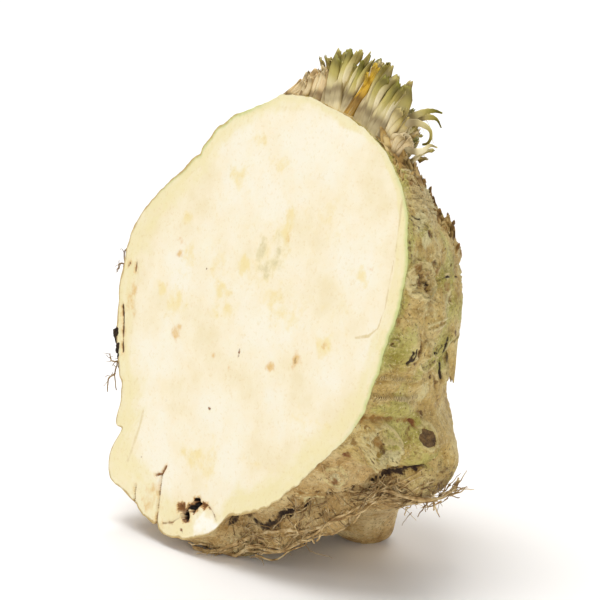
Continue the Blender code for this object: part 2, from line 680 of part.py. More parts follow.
def main():
    for old in list(bpy.data.objects):
        bpy.data.objects.remove(old)
    home = collection("half_celeriac")
    cutters = collection("cutters")
    skin = material("skin", SKIN_COLOUR, 0.6)
    root = material("root", ROOT_COLOUR, 0.8)
    bulb = add_object("bulb_half", bulb_mesh("bulb_half"), home)
    grown = add_object("grown_bulb", bulb_mesh("grown_bulb", PIECE_GAP), cutters)
    hide(grown)
    front = {
        back: box(f"front_{i}", cutters, (-150, -150, -150), (150, back, 150))
        for i, back in enumerate((0.0, CROWN_SET_BACK))
    }
    growths = collection("growths")
    shoulder_scales(growths)
    skin_flap(growths)
    apply_boolean(bulb, "UNION", growths)
    apply_boolean(bulb, "DIFFERENCE", hollow(cutters))
    bulb.data.materials.append(skin)
    yellow_room = make_yellow("yellow_room", cutters, 0.4)
    hide(yellow_room)
    pieces = [bulb, make_crown(home, material("stalk", STALK_COLOUR, 0.6), grown, front, yellow_room)]
    yellow = make_yellow("yellow_stalk", home, 0.0)
    apply_boolean(yellow, "DIFFERENCE", grown)
    apply_boolean(yellow, "DIFFERENCE", front[0.0])
    yellow.data.materials.append(material("yellow_stalk", YELLOW_COLOUR, 0.6))
    pieces.append(yellow)
    for i, (name, thick, twigs, spine) in enumerate(FIBRES):
        pieces.append(make_fibres(name, home, root, grown, thick, twigs, spine, SEED + 10 + i))
    for name, thick, branches in ROOTLETS:
        pieces.append(make_rootlet(name, home, root, grown, thick, branches))
    pieces.append(make_soil(home, material("soil", SOIL_COLOUR, 0.95), grown))
    shift = stand_up(pieces, cutters)
    for piece in pieces:
        piece.data.shade_smooth()
        piece.data.set_sharp_from_angle(angle=math.radians(40))
    print("middle of the cut face, metres:", *(round(c, 5) for c in shift))


main()
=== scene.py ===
"""Half a celeriac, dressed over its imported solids: skin, cut face, leaf stalks, roots and soil.

Plant frame, in millimetres: the cut face is the plane y = 0, the flesh fills y > 0, x runs to the
right of the face and z up it. A place on the skin is two angles in degrees: theta turns in the cut
face from +x towards +z, and phi goes from the rim of the cut (0) to the far back (90).
"""

import json
import math
import random

import bpy
import numpy as np
from bpy.props import FloatProperty, FloatVectorProperty, IntProperty, PointerProperty
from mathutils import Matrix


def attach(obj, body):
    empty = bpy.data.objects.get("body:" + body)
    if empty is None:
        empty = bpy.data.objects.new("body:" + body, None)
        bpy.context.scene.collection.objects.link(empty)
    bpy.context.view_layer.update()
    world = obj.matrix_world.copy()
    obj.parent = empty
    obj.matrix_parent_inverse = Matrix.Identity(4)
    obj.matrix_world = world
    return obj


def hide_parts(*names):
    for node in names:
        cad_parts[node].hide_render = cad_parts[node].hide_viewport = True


bl_info = {
    "name": "Half Celeriac",
    "version": (1, 0, 0),
    "blender": (4, 5, 0),
    "location": "View3D > Sidebar > Celeriac",
    "description": "Builds the surfaces of a celeriac root cut in half",
    "category": "Add Mesh",
}

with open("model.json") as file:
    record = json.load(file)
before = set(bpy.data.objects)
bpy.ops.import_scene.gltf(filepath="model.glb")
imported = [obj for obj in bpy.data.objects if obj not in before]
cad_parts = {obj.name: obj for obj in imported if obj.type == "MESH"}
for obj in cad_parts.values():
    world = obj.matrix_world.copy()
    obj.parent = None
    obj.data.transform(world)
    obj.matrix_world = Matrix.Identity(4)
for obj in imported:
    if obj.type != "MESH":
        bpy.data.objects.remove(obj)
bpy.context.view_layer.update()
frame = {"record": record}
FACE_MOUNT = next(m for m in frame["record"]["mounts"] if m["name"] == "cut_face")
MM = 0.001
LEAN = math.radians(12.0)
ORIGIN = np.array(FACE_MOUNT["pos_m"])
SEED = 7
SKIN = "grown corky root skin"
RIND_DEFAULT = 0.007
STALK_DEFAULT = 0.0155

# The form, with the same values as the solids. DEGREE is one degree in millimetres of skin.
DEPTH = 58.0
MEAN_RADIUS = 60.0
DEGREE = math.radians(1) * MEAN_RADIUS
SECTION_POWER = 2.15
# Outline of the cut: theta, distance from the middle
RIM = (
    (0, 53.0), (12, 57.0), (24, 61.0), (36, 64.5), (48, 66.0), (62, 64.5), (78, 63.5), (92, 63.5),
    (104, 61.0), (120, 60.0), (134, 58.0), (144, 59.0), (154, 63.0), (165, 66.5), (178, 67.0), (192, 66.5),
    (204, 66.0), (211, 67.5), (218, 74.0), (225, 81.5), (232, 78.0), (241, 75.5), (252, 72.5), (260, 67.5),
    (266, 62.5), (271, 57.0), (284, 54.0), (298, 51.0), (314, 48.5), (328, 50.5), (345, 52.0),
)
# Broad swellings: theta, phi, height, reach
SWELLS = (
    (300, 42, 9.0, 34.0), (262, 34, 3.0, 20.0), (47, 30, -5.5, 24.0), (15, 45, -2.0, 24.0),
    (345, 50, -6.5, 14.0), (316, 36, 8.5, 16.0), (170, 50, 2.5, 20.0), (100, 55, -2.0, 18.0),
    (220, 55, 3.0, 16.0),
)
# Lobes: theta, phi, height, reach along theta and along phi
LOBES = (
    (278, 13, 8.0, 21.0, 7.5), (249, 37, 11.0, 10.0, 10.0), (277, 40, 13.0, 10.0, 10.0),
    (301, 18, 3.5, 11.0, 5.0), (226, 20, 4.0, 12.0, 9.0), (322, 30, 2.5, 8.0, 6.0),
    (240, 62, 5.0, 12.0, 9.0), (205, 38, 4.5, 9.0, 12.0), (283, 62, 4.0, 14.0, 8.0),
)
# Stubs of side roots: theta, phi, height, radius, with a scar on top that is a share of both
KNOBS = (
    (19, 7, 2.2, 5.0), (329, 12, 3.4, 6.0), (334, 27, 1.2, 3.6), (25, 14, 1.0, 2.8), (1, 17, 1.2, 3.6),
    (314, 6, 1.4, 4.0), (21, 22, 1.2, 3.0), (340, 72, 1.8, 4.5), (30, 70, 1.6, 4.5), (75, 62, 2.0, 5.0),
    (128, 34, 2.2, 5.5), (150, 66, 1.8, 5.0), (168, 22, 2.0, 4.5), (188, 55, 2.4, 5.5),
    (214, 70, 2.2, 5.0), (200, 14, 2.0, 4.0), (238, 30, 2.4, 5.0), (262, 70, 2.4, 5.5),
    (300, 58, 2.4, 5.0), (312, 78, 1.6, 4.0), (232, 46, 2.0, 4.0), (276, 47, 2.0, 4.0),
    (108, 20, 1.2, 4.0), (352, 38, 1.0, 3.5),
)
SCAR_SHARE = 0.42
SCAR_DEPTH_SHARE = 0.75
# Creases: depth, half width, places as theta and phi
CREASES = (
    (5.5, 3.2, ((298, 11), (308, 17), (313, 20.5), (320, 25), (326, 34))),
    (3.6, 2.6, ((268, 4.0), (279, 4.6), (290, 7.5), (299, 12))),
    (1.4, 3.2, ((346, 0), (347, 17), (338, 34), (334, 60))),
    (1.6, 2.8, ((339, 0), (339, 10), (338, 22))),
    (1.8, 3.6, ((196, 0), (200, 26), (212, 50), (236, 54), (262, 55), (288, 50))),
    (1.4, 3.4, ((150, 0), (146, 30), (162, 58), (190, 74))),
    (1.4, 3.2, ((116, 12), (96, 38), (60, 52), (20, 58), (352, 56))),
    (2.4, 3.2, ((234, 10), (240, 22), (250, 23), (262, 24), (275, 22), (284, 22))),
)
# Unevenness: wave length, height, number of waves
WAVES = ((34.0, 0.9, 9), (14.0, 0.45, 16))

# The crown: its place and radius, the way its stalks point and fan out, and how they are spaced
CROWN_THETA = 69.0
CROWN_RADIUS = 24.0
STALK_WAY = (0.26, 0.20, 0.90)
STALK_FAN_SIDE = 0.16
STALK_FAN_BACK = 0.30
STALK_COUNT = 92
STALK_SPACING = 2.45
STALK_FIRST_PHI = 5.0
STALK_LAST_THETA = 57
STALK_SINK = 3.0
GOLDEN_ANGLE = 137.508
# Front row: foot, tip, width, then how green and how tan the stalk is. The broad ones have one wide
# leaf base
FRONT_STALKS = (
    ((-4, 2, 62.5), (-2.5, 4, 68.5), 5.0, 0.0, 1.0),
    ((-1, 2, 62.5), (0.5, 4, 71), 5.0, 0.0, 1.0),
    ((2.5, 2, 62.5), (3.5, 4, 72), 5.0, 0.1, 1.0),
    ((6, 2, 62.5), (6, 5, 73.5), 5.5, 0.3, 0.8),
    ((9, 3, 62.5), (7.5, 6, 76), 5.5, 0.8, 0.3),
    ((13.5, 2, 62), (11.5, 5, 78.5), 7.0, 1.0, 0.0),
    ((15.5, 3.2, 61.5), (15.5, 6.5, 75.5), 6.0, 0.7, 0.0),
    ((18, 2, 61), (20, 7, 79), 6.0, 0.9, 0.0),
    ((20.5, 4, 59.5), (24, 8.5, 77), 6.0, 0.6, 0.2),
    ((25, 2, 58), (28.5, 7.5, 75), 6.0, 0.4, 0.2),
    ((28.5, 2.4, 56.5), (33.5, 6, 76.5), 6.5, 0.8, 0.0),
    ((31, 3.4, 55.5), (34.5, 8, 73), 6.5, 0.5, 0.3),
    ((34, 2, 54.3), (39.5, 6, 71), 8.0, 0.8, 0.0),
    ((37.5, 2.6, 52.5), (41, 6.5, 64.5), 6.5, 0.7, 0.3),
    ((40.5, 3, 50.5), (42.5, 5, 58.5), 7.0, 0.0, 0.7),
)
BROAD_STALKS = (5, 12, 14)
YELLOW_STALK = ((21.6, 1.9, 60.4), (28.8, 4.2, 75.6), 3.6, 1.4)
# Torn strips: width, half width as a share of it, how green the strip and its loose threads are, route
STRIPS = (
    (2.2, 0.50, 0.85, 0.1, ((37.5, 3, 51.5), (38, 3.5, 56.5), (41, 4, 59.2), (44, 5, 60.5), (46.5, 6, 60.5),
                            (48.8, 7, 59.4), (48.8, 8, 57.6), (47, 9, 55.8), (44.5, 9.5, 55.2))),
    (1.6, 0.62, 0.45, 0.0, ((39, 3, 50), (42.8, 4, 53), (46.4, 5, 53),
                            (48.6, 6, 53.6), (50, 7, 55.2), (51.4, 8.5, 55))),
    (1.8, 0.60, 1.1, 0.9, ((36, 8, 55), (37.5, 8, 60), (39.5, 9, 62.2),
                           (42, 11, 64), (44.5, 12, 64.6), (46.5, 13, 64.3))),
    (1.8, 0.60, 1.1, 0.9, ((36.5, 10, 54), (38, 10, 60.2), (41, 11, 62.4),
                           (43.5, 12, 62.8), (45, 13, 62.3), (46, 14, 60.4))),
)
# Line on the shoulder that the dry scales follow, as theta and phi, and their number
SCALE_LINE = ((43, 4), (46, 9), (48, 15), (48, 21), (48, 26), (44, 29), (40, 31), (38, 42))
SCALE_COUNT = 210
# Loose flap of skin: its foot and its tip as theta, phi and lift, the way it faces, its width
FLAP = ((5.0, 39.0, 0.2), (348.0, 43.0, 1.5), (-6.0, 32.0), 7.68)
# Bunches of fibres: name, thickness, route as theta, phi and lift
FIBRES = (
    ("root_fibres_front", 1.7, ((262, 7.5, 1.3), (270, 8.6, 1.6), (279, 9.6, 1.7),
                                (288, 11, 1.8), (296, 13.4, 1.8), (303, 16.5, 2.2))),
    ("root_fibres_right", 1.6, ((309, 19.5, 2.4), (313, 24, 2.4), (317, 31, 2.2),
                                (318, 40, 2.2), (319, 48, 2.6), (322, 56, 4.2))),
    ("root_fibres_back", 1.6, ((236, 25, 1.6), (231, 34, 2.0), (233, 45, 2.0),
                               (243, 54, 2.2), (258, 58, 2.6))),
)
# Bright single strands over the front bunch: places on the skin (theta, phi, lift), half width
STRANDS = (
    (((256, 3.6, 2.0), (262, 5.4, 1.2), (267.6, 6.7, 0.9), (276, 7.0, 1.0), (284, 7.5, 1.3),
      (293, 12.0, 1.2), (303.6, 18.0, 1.0), (308, 21.3, 1.0), (317.2, 25.1, 0.8)), 0.75),
    (((296, 13.0, 0.8), (303, 18.5, 1.4), (310, 24.0, 1.6), (317, 31.0, 1.2)), 0.45),
    (((300, 19.0, 0.8), (306, 23.0, 1.6), (313, 27.5, 2.0), (320, 30.0, 0.8)), 0.40),
    (((266, 8.4, 0.8), (274, 9.0, 1.2), (283, 10.2, 1.4), (291, 13.6, 1.0), (299, 17.0, 0.8)), 0.40),
    (((316.0, 0.7, 0.5), (313.4, 3.4, 0.9), (308.8, 8.6, 0.5)), 0.50),
    (((328.4, 5.0, 0.4), (324.6, 8.4, 0.5), (321.0, 13.4, 0.4)), 0.30),
    (((308.8, 21.3, 0.8), (313.2, 24.0, 1.3), (318.0, 25.8, 1.5), (321.2, 28.8, 1.2),
      (322.6, 31.3, 0.4)), 0.36),
    (((308.0, 22.8, 1.0), (314.4, 25.1, 1.8), (319.2, 27.3, 1.6), (321.2, 30.7, 0.8)), 0.32),
    (((306.4, 21.3, 1.0), (310.4, 24.7, 2.0), (315.2, 26.2, 2.2), (319.2, 28.8, 1.8),
      (320.4, 31.8, 0.8)), 0.42),
    (((307.0, 24.0, 1.4), (311.6, 26.8, 2.2), (316.0, 29.4, 2.4), (319.6, 32.4, 1.0)), 0.30),
)
# Dark rootlets: name, thickness, branches as points
ROOTLETS = (
    ("rootlet_upper", 1.0, (
        ((-65.6, 2.0, 4.0), (-69.0, 2.6, 5.6), (-70.8, 2.8, 8.2), (-70.2, 3.0, 10.6)),
        ((-69.0, 2.6, 5.6), (-71.4, 2.0, 5.0), (-72.2, 2.4, 2.4)),
    )),
    ("rootlet_lower", 1.0, (
        ((-61.4, 2.4, -21.4), (-65.0, 2.6, -24.0), (-66.2, 2.8, -28.0), (-64.6, 3.0, -33.0)),
        ((-65.0, 2.6, -24.0), (-68.0, 2.2, -24.6), (-70.0, 2.6, -22.6)),
        ((-66.2, 2.8, -28.0), (-68.6, 2.4, -31.0), (-68.2, 2.6, -34.5)),
    )),
)
# Crumbs of soil: theta, phi, lift, size
SOIL = (
    (194.0, 3.6, 1.4, (2.9, 3.4, 4.6)), (193.6, 1.4, 1.3, (1.8, 2.3, 3.0)),
    (197.4, 1.2, 0.9, (1.2, 1.8, 2.2)), (199.8, 1.0, 0.6, (0.9, 1.4, 1.7)),
    (201.8, 0.9, 0.4, (0.6, 1.0, 1.4)),
)

# Pits at random places on the skin, and the length that the mask row_place counts in
PIT_COUNT = 170
ROW_UNIT = 100.0
# Marks on the skin: theta, phi, radius and height in millimetres, and the mask that colours them
SPOTS = (
    (25.2, 12.7, 1.1, -0.7, "scar"), (23.2, 14.8, 1.3, 0.1, "rust_and_shade"), (27.6, 25.1, 0.9, -0.5, "scar"),
    (20.0, 20.2, 1.6, -0.4, "rust_and_shade"), (31.5, 9.0, 1.3, -0.5, "scar"), (34.0, 4.6, 3.2, 0.2, "pale"),
    (29.6, 7.0, 2.2, 0.1, "pale"), (28.4, 0.9, 0.7, -0.3, "scar"), (26.6, 0.9, 0.7, -0.3, "scar"),
    (25.0, 1.6, 0.5, -0.2, "scar"), (8.6, 1.2, 1.6, -0.2, "rust_and_shade"), (21.8, 3.2, 2.0, -0.3, "rust_and_shade"),
    (18.9, 4.6, 1.7, -0.9, "scar"), (17.4, 7.8, 1.3, -0.5, "scar"), (2.4, 2.4, 0.8, -0.5, "scar"),
    (350.4, 22.8, 1.1, -0.7, "scar"), (357.2, 12.4, 0.9, -0.3, "scar"), (0.4, 11.8, 1.1, -0.4, "rust_and_shade"),
    (336.8, 22.8, 1.2, -0.4, "red"), (339.2, 27.7, 0.8, -0.2, "scar"), (337.9, 1.6, 1.7, -0.3, "rust_and_shade"),
    (338.3, 5.4, 1.2, -0.3, "rust_and_shade"), (332.0, 8.0, 1.6, -0.6, "rust_and_shade"), (328.6, 14.6, 3.0, 0.2, "pale"),
    (330.6, 10.2, 1.4, -0.7, "scar"), (312.4, 6.6, 1.2, -0.4, "red"), (305.6, 10.1, 1.7, -0.4, "pale"),
    (305.0, 9.6, 0.7, -0.4, "scar"), (301.4, 2.6, 1.3, -0.3, "rust_and_shade"), (297.4, 3.2, 1.4, -0.3, "rust_and_shade"),
    (323.0, 5.0, 1.2, -0.5, "red"), (44.8, 6.6, 1.6, -0.8, "dirt_and_shade"), (47.4, 3.4, 1.6, 0.3, "rust_and_shade"),
    (43.2, 3.4, 1.1, 0.1, "rust_and_shade"), (48.8, 21.7, 1.8, -0.9, "dirt_and_shade"), (49.0, 31.0, 1.7, -0.9, "dirt_and_shade"),
    (41.6, 26.6, 2.0, -0.8, "dirt_and_shade"), (45.0, 27.0, 1.7, -0.7, "scar"), (38.4, 41.6, 2.4, 1.2, "rust_and_shade"),
    (37.2, 44.2, 1.2, -0.5, "scar"), (7.2, 35.6, 1.6, 0.5, "scar"), (270.4, 2.4, 1.5, -0.6, "red"),
    (352.0, 27.0, 0.8, -0.2, "scar"), (349.5, 31.0, 0.9, -0.2, "scar"), (344.5, 33.0, 1.0, 0.3, "rust_and_shade"),
)
# Patches of colour: theta, phi, reach along theta and along phi in millimetres, mask
PATCHES = (
    (4.8, 7.1, 3.6, 3.2, "green"), (22.0, 20.0, 5.0, 5.0, "green"), (30.0, 1.6, 5.0, 1.6, "green"),
    (342.0, 8.0, 2.0, 7.0, "green"), (13.0, 13.0, 4.0, 5.0, "pale"), (346.0, 24.0, 4.0, 5.0, "pale"),
    (354.0, 13.5, 1.2, 3.2, "pale"), (326.0, 27.0, 4.0, 7.0, "green"), (9.0, 26.0, 3.0, 3.0, "green"),
    (309.0, 17.0, 7.0, 3.0, "scar"), (316.0, 25.0, 5.0, 3.4, "scar"), (270.0, 11.0, 9.0, 6.0, "pale"),
    (278.0, 26.0, 6.0, 5.0, "pale"), (318.0, 36.0, 6.0, 6.0, "scar"), (27.0, 14.0, 5.0, 5.0, "pale"),
    (24.0, 3.4, 4.0, 2.6, "pale"), (16.0, 22.0, 5.0, 6.0, "pale"), (36.0, 12.0, 3.0, 5.0, "pale"),
    (311.0, 29.0, 4.0, 5.0, "scar"),
)
# Lines on the skin: depth (raised if negative), half width, mask, its strength, points
LINES = (
    (0.45, 0.32, "dirt_and_shade", 0.8, ((34.6, 1.5), (34.2, 3.7), (33.6, 6.0), (33.0, 7.3), (31.8, 8.8))),
    (0.35, 0.28, "scar", 0.8, ((33.6, 1.1), (32.0, 4.5), (32.6, 6.6))),
    (0.40, 0.30, "dirt_and_shade", 0.8, ((20.8, 15.7), (22.8, 21.0), (25.6, 32.6))),
    (0.45, 0.34, "scar", 0.9, ((357.2, 15.4), (355.6, 19.0), (355.6, 22.8), (356.4, 27.0), (358.4, 29.6))),
    (0.80, 0.48, "dirt_and_shade", 1.2, ((357.0, 8.9), (0.4, 9.5))),
    (0.80, 0.42, "dirt_and_shade", 1.1, ((358.0, 10.2), (1.4, 10.5))),
    (0.90, 0.75, "scar", 1.2, ((358.4, 12.9), (2.8, 12.6))),
    (0.80, 0.52, "dirt_and_shade", 1.2, ((358.0, 18.6), (1.6, 19.6), (3.0, 20.8))),
    (0.70, 0.44, "dirt_and_shade", 1.1, ((359.6, 22.6), (3.0, 24.4))),
    (0.30, 0.30, "scar", 0.8, ((14.4, 0.6), (13.0, 3.2), (12.2, 5.8))),
    (0.30, 0.30, "scar", 0.8, ((13.0, 0.6), (11.6, 3.0), (10.8, 5.4))),
    (0.30, 0.30, "scar", 0.7, ((11.6, 0.6), (10.2, 2.8), (9.4, 4.6))),
    (0.25, 0.30, "scar", 0.6, ((15.8, 1.2), (14.6, 4.0))),
    (-0.50, 0.55, "pale", 0.9, ((8.2, 14.6), (9.6, 18.0), (10.8, 21.5))),
    (-0.50, 0.50, "pale", 0.9, ((6.8, 15.7), (8.2, 19.6), (9.8, 23.0))),
    (0.35, 0.35, "scar", 0.7, ((7.4, 15.2), (9.0, 19.0), (10.4, 22.6))),
    (0.50, 1.10, "rust_and_shade", 0.9, ((338.0, 0.3), (338.0, 6.0), (338.4, 18.0), (336.8, 22.8))),
    (-0.70, 0.42, "tick", 1.0, ((335.4, 6.6), (331.6, 6.2), (327.0, 8.4), (321.0, 14.8), (314.4, 23.6))),
    (0.60, 0.50, "dirt_and_shade", 0.8, ((20.4, 3.6), (19.4, 5.6), (18.6, 8.4))),
    (0.40, 0.36, "scar", 0.8, ((334.4, 7.4), (332.8, 9.4), (331.0, 9.6))),
    # Painted shadow in the crease under the lobe at the foot of the cut
    (0.90, 0.62, "dirt_and_shade", 1.0, ((268.0, 3.6), (272.0, 4.6), (278.0, 6.4), (286.0, 7.2), (292.0, 8.8))),
    (0.60, 0.80, "scar", 0.8, ((303.0, 13.5), (309.0, 16.0), (312.0, 14.0), (310.0, 11.5))),
    # The next two are painted shadow: in the gap beside the loose flap and in the crease at the right
    (1.50, 0.70, "dirt_and_shade", 2.2, ((351.4, 33.7), (353.5, 33.0), (357.0, 31.9), (0.5, 31.0), (5.0, 30.1))),
    (1.50, 0.48, "dirt_and_shade", 1.15, ((311.6, 22.0), (314.8, 23.6), (318.0, 25.1), (321.2, 27.3), (322.6, 31.0))),
    (0.60, 0.34, "dirt_and_shade", 1.1, ((357.6, 26.2), (1.2, 27.2))),
    (0.60, 0.36, "dirt_and_shade", 1.3, ((359.4, 27.8), (2.6, 28.6))),
    (0.30, 0.30, "scar", 0.9, ((358.6, 23.4), (356.2, 24.8), (355.6, 26.4), (357.2, 28.6))),
    (0.15, 1.00, "rust_and_shade", 0.55, ((345.0, 0.6), (345.6, 8.6), (345.2, 22.4))),
)
# Rows of ticks left by leaf bases: points
TICK_ROWS = (((352.0, 0.6), (352.2, 6.0), (351.2, 17.0)), ((345.0, 0.6), (345.6, 8.6), (345.2, 22.4)))
# Dark round spot: theta, phi, reach along theta and along phi
ROUND_SPOT = (333.6, 26.6, 2.0, 2.8)
# Oval root scars: theta, phi, reach along theta and along phi, number of rings, height
OVALS = (
    (19.2, 7.6, 4.7, 7.0, 3.0, 0.75), (331.4, 10.2, 5.4, 5.6, 2.6, 0.70), (2.4, 2.6, 1.3, 1.6, 1.0, 0.35),
    (356.8, 22.4, 2.6, 6.6, 1.6, 0.30), (28.0, 41.0, 3.6, 4.4, 2.0, 0.55),
    (300.5, 8.5, 3.0, 3.6, 2.0, 0.45), (128.0, 34.0, 5.6, 6.2, 3.0, 0.60),
    (188.0, 55.0, 5.0, 5.8, 3.0, 0.65), (75.0, 62.0, 4.6, 5.2, 2.4, 0.60),
    (150.0, 20.0, 3.6, 4.4, 2.0, 0.50), (214.0, 30.0, 4.2, 4.6, 2.4, 0.55),
    (10.0, 72.0, 4.6, 5.0, 2.6, 0.60),
)

# Notches in the outline of the cut: theta, half width in degrees, depth
NOTCHES = (
    (218.4, 1.5, 4.2), (245.4, 0.8, 1.1), (131.4, 1.2, 0.8), (207.0, 1.4, 0.7), (253.5, 1.2, 0.8),
    (236.0, 1.5, 0.6),
)
# Marks on the cut face, in its x and z: lines as depth, half width, how dark as painted shade, how brown,
# points
FACE_LINES = (
    (1.6, 0.34, 0.6, 0.9, ((-32.3, -52.2), (-32.2, -56.0), (-31.9, -59.9), (-31.6, -63.0), (-31.2, -67.0))),
    (0.7, 0.36, 0.1, 0.85, ((-30.8, -49.6), (-31.6, -51.2), (-32.6, -52.4))),
    (0.6, 0.50, 0.1, 0.8, ((-33.0, -52.3), (-34.6, -53.0))),
    (0.9, 0.34, 0.3, 0.9, ((-43.9, -58.4), (-43.8, -60.6), (-43.0, -63.8))),
    (0.5, 0.35, 0.3, 0.9, ((-60.4, 7.2), (-60.2, 4.3))),
    (0.4, 0.30, 0.2, 0.8, ((-63.2, 6.6), (-64.2, 5.4))),
    (0.9, 0.42, 0.9, 1.0, ((-64.0, -6.6), (-62.6, -11.0), (-61.6, -15.5), (-60.5, -20.5))),
    (0.4, 0.35, 0.1, 0.8, ((-11.4, -56.2), (-9.0, -56.2), (-6.4, -57.4), (-4.4, -59.6))),
    (0.3, 0.40, 0.1, 0.7, ((-28.0, -66.0), (-23.6, -64.6), (-21.0, -62.6))),
)
# Holes in the cut face: x, z, reach in x, reach in z, depth; inside they are painted dark as shade, more
# when deeper
HOLLOWS = (
    (-20.4, -59.6, 1.5, 1.4, 1.2), (-18.0, -61.2, 1.9, 1.5, 5.0), (-13.8, -56.4, 1.4, 1.7, 5.0),
    (-15.6, -58.6, 1.9, 1.0, 2.4), (-10.6, -56.6, 1.5, 0.9, 1.0),
)
# Faint lines in the flesh: half width, strength, points
FAINT_LINES = (
    (0.36, 1.2, ((50.2, 39.9), (50.6, 33.4), (51.0, 27.5), (50.7, 19.6), (50.5, 11.2),
                 (49.0, 5.4), (46.0, 2.9), (41.1, 1.5))),
    (0.60, 0.8, ((-45.6, -36.0), (-46.1, -40.5), (-47.6, -46.0), (-49.4, -52.0))),
    (0.90, 0.5, ((-59.0, 16.0), (-58.6, 2.0), (-57.6, -8.0), (-56.4, -20.0), (-53.5, -32.0))),
    (0.50, 0.4, ((-24.0, 58.0), (-34.0, 50.0), (-44.0, 38.0), (-52.0, 22.0))),
    (0.50, 0.4, ((-20.0, 55.5), (-4.0, 59.5), (10.0, 60.0), (24.0, 56.5), (36.0, 49.5), (45.0, 40.0))),
)
# Width of the yellow zone inside the rim, by theta
RIND_WIDTH = (
    (0, 5.8), (25, 5.2), (40, 2.8), (70, 2.0), (95, 2.8), (125, 6.5), (150, 9.0), (180, 8.0), (205, 9.0),
    (221, 15.0), (235, 12.0), (265, 7.0), (290, 9.0), (315, 8.0), (340, 6.5),
)
# Stains on the cut face: x, z, reach in x, reach in z, strength, mask
STAINS = (
    (6.3, 27.6, 2.6, 5.0, 1.1, "stain"), (7.6, 25.0, 1.2, 2.4, 0.6, "amber"),
    (-3.5, 19.4, 3.4, 4.8, 0.75, "grey"), (3.4, 19.0, 3.4, 5.0, 0.75, "grey"),
    (-0.6, 14.2, 4.2, 3.2, 0.7, "grey"), (-9.3, 13.0, 3.0, 4.0, 1.0, "stain"),
    (0.0, 17.0, 9.0, 9.0, 0.6, "stain"), (5.6, 15.0, 2.4, 2.4, 0.6, "grey"),
    (-38.3, 23.6, 2.6, 1.8, 0.9, "stain"), (-39.8, 16.2, 2.6, 1.7, 1.0, "amber"),
    (-39.9, 12.8, 2.0, 1.4, 1.0, "amber"), (-35.5, 13.0, 4.0, 3.6, 0.7, "stain"),
    (-36.7, -10.6, 2.2, 2.4, 0.9, "amber"), (-34.8, -8.6, 1.6, 1.3, 1.0, "amber"),
    (-17.3, 38.1, 5.0, 3.2, 0.8, "stain"), (-12.4, 48.8, 4.6, 2.2, 0.7, "stain"),
    (-1.2, 43.7, 3.6, 2.4, 0.7, "stain"), (-46.0, 0.7, 2.4, 2.0, 0.9, "stain"),
    (-38.0, -1.0, 4.6, 6.0, 0.8, "stain"), (-17.6, 4.4, 3.6, 2.6, 0.9, "stain"),
    (-14.0, -0.1, 3.6, 3.0, 0.8, "stain"), (-18.8, -2.2, 3.0, 1.8, 0.9, "stain"),
    (5.4, 6.5, 5.4, 3.4, 0.7, "stain"), (11.7, 2.6, 7.0, 5.0, 0.6, "stain"),
    (40.2, 17.5, 2.6, 2.4, 0.8, "stain"), (42.5, 20.3, 1.6, 1.2, 0.9, "amber"),
    (-22.0, 12.0, 6.0, 5.0, 0.45, "stain"), (22.0, 30.0, 7.0, 10.0, 0.35, "stain"),
    (30.0, 8.0, 6.0, 7.0, 0.35, "stain"), (-5.8, -11.0, 0.7, 1.5, 0.9, "brown"),
    (-18.5, -10.4, 1.3, 1.8, 0.8, "amber"), (-17.1, -14.0, 1.1, 1.0, 0.9, "amber"),
    (-9.5, -16.4, 0.9, 1.3, 0.9, "amber"), (29.2, -2.5, 1.3, 1.1, 1.0, "amber"),
    (29.2, -2.5, 3.4, 3.0, 0.9, "stain"), (18.7, -8.9, 1.0, 1.4, 0.55, "brown"),
    (18.7, -8.9, 2.0, 2.6, 0.9, "amber"), (7.9, -12.6, 2.4, 1.6, 0.9, "amber"),
    (-26.4, 10.2, 0.6, 0.45, 1.0, "brown"), (-35.5, -31.0, 0.7, 0.8, 0.6, "brown"),
    (-15.2, -28.9, 1.0, 0.6, 0.75, "brown"), (-43.1, -49.3, 0.6, 0.9, 0.8, "brown"),
    (-23.6, -65.2, 1.2, 0.8, 0.6, "brown"), (-19.1, -65.8, 1.1, 0.9, 0.9, "brown"),
    (-8.6, -61.6, 7.0, 4.0, 1.0, "white"), (-17.8, -44.0, 7.5, 3.6, 0.8, "stain"),
    (-36.0, -60.0, 6.0, 6.0, 0.6, "amber"), (-60.0, -4.0, 2.6, 6.0, 0.7, "amber"),
    (10.0, -40.0, 12.0, 1.6, 0.5, "stain"), (26.0, -24.0, 10.0, 2.0, 0.5, "stain"),
    (-12.0, -44.0, 4.0, 7.0, 0.6, "stain"),
)

# The skin is a band round the sides and a cap over the back that overlap: where they end, in phi, and
# how far the hidden edges are tucked in
SIDE_END = 46.0
BACK_START = 43.6
TUCK = 1.2
# Leaf bases and scales stay this far behind the plane of the cut, and bend away from it this softly
FACE_GAP = 0.35
FACE_SOFT = 0.6

# The stage, in metres: half the floor's side, the light from all round, and the softboxes as name,
# place, size, power and aim. The far one lights the floor behind.
FLOOR = 6.0
SKY = 0.47
MIDDLE = (0.0, 0.0, 0.06)
SOFTBOXES = (
    ("top_softbox", (-0.10, -0.10, 1.0), 0.5, 6.0, MIDDLE),
    ("left_softbox", (-0.7, -0.9, 0.6), 0.6, 1.4, MIDDLE),
    ("right_softbox", (0.95, -0.55, 0.24), 0.5, 3.0, MIDDLE),
    ("far_softbox", (-1.2, 1.6, 1.9), 1.6, 46.0, (-1.6, 2.0, 0.0)),
)
# The camera: azimuth and elevation in degrees, how far right and up in millimetres its aim lies from
# the middle of the cut, distance in metres, lens and sensor in millimetres
AZIMUTH = 50.0
ELEVATION = 12.0
AIM = (11.83, 5.07)
DISTANCE = 0.6
LENS = 127.8
SENSOR = 36.0


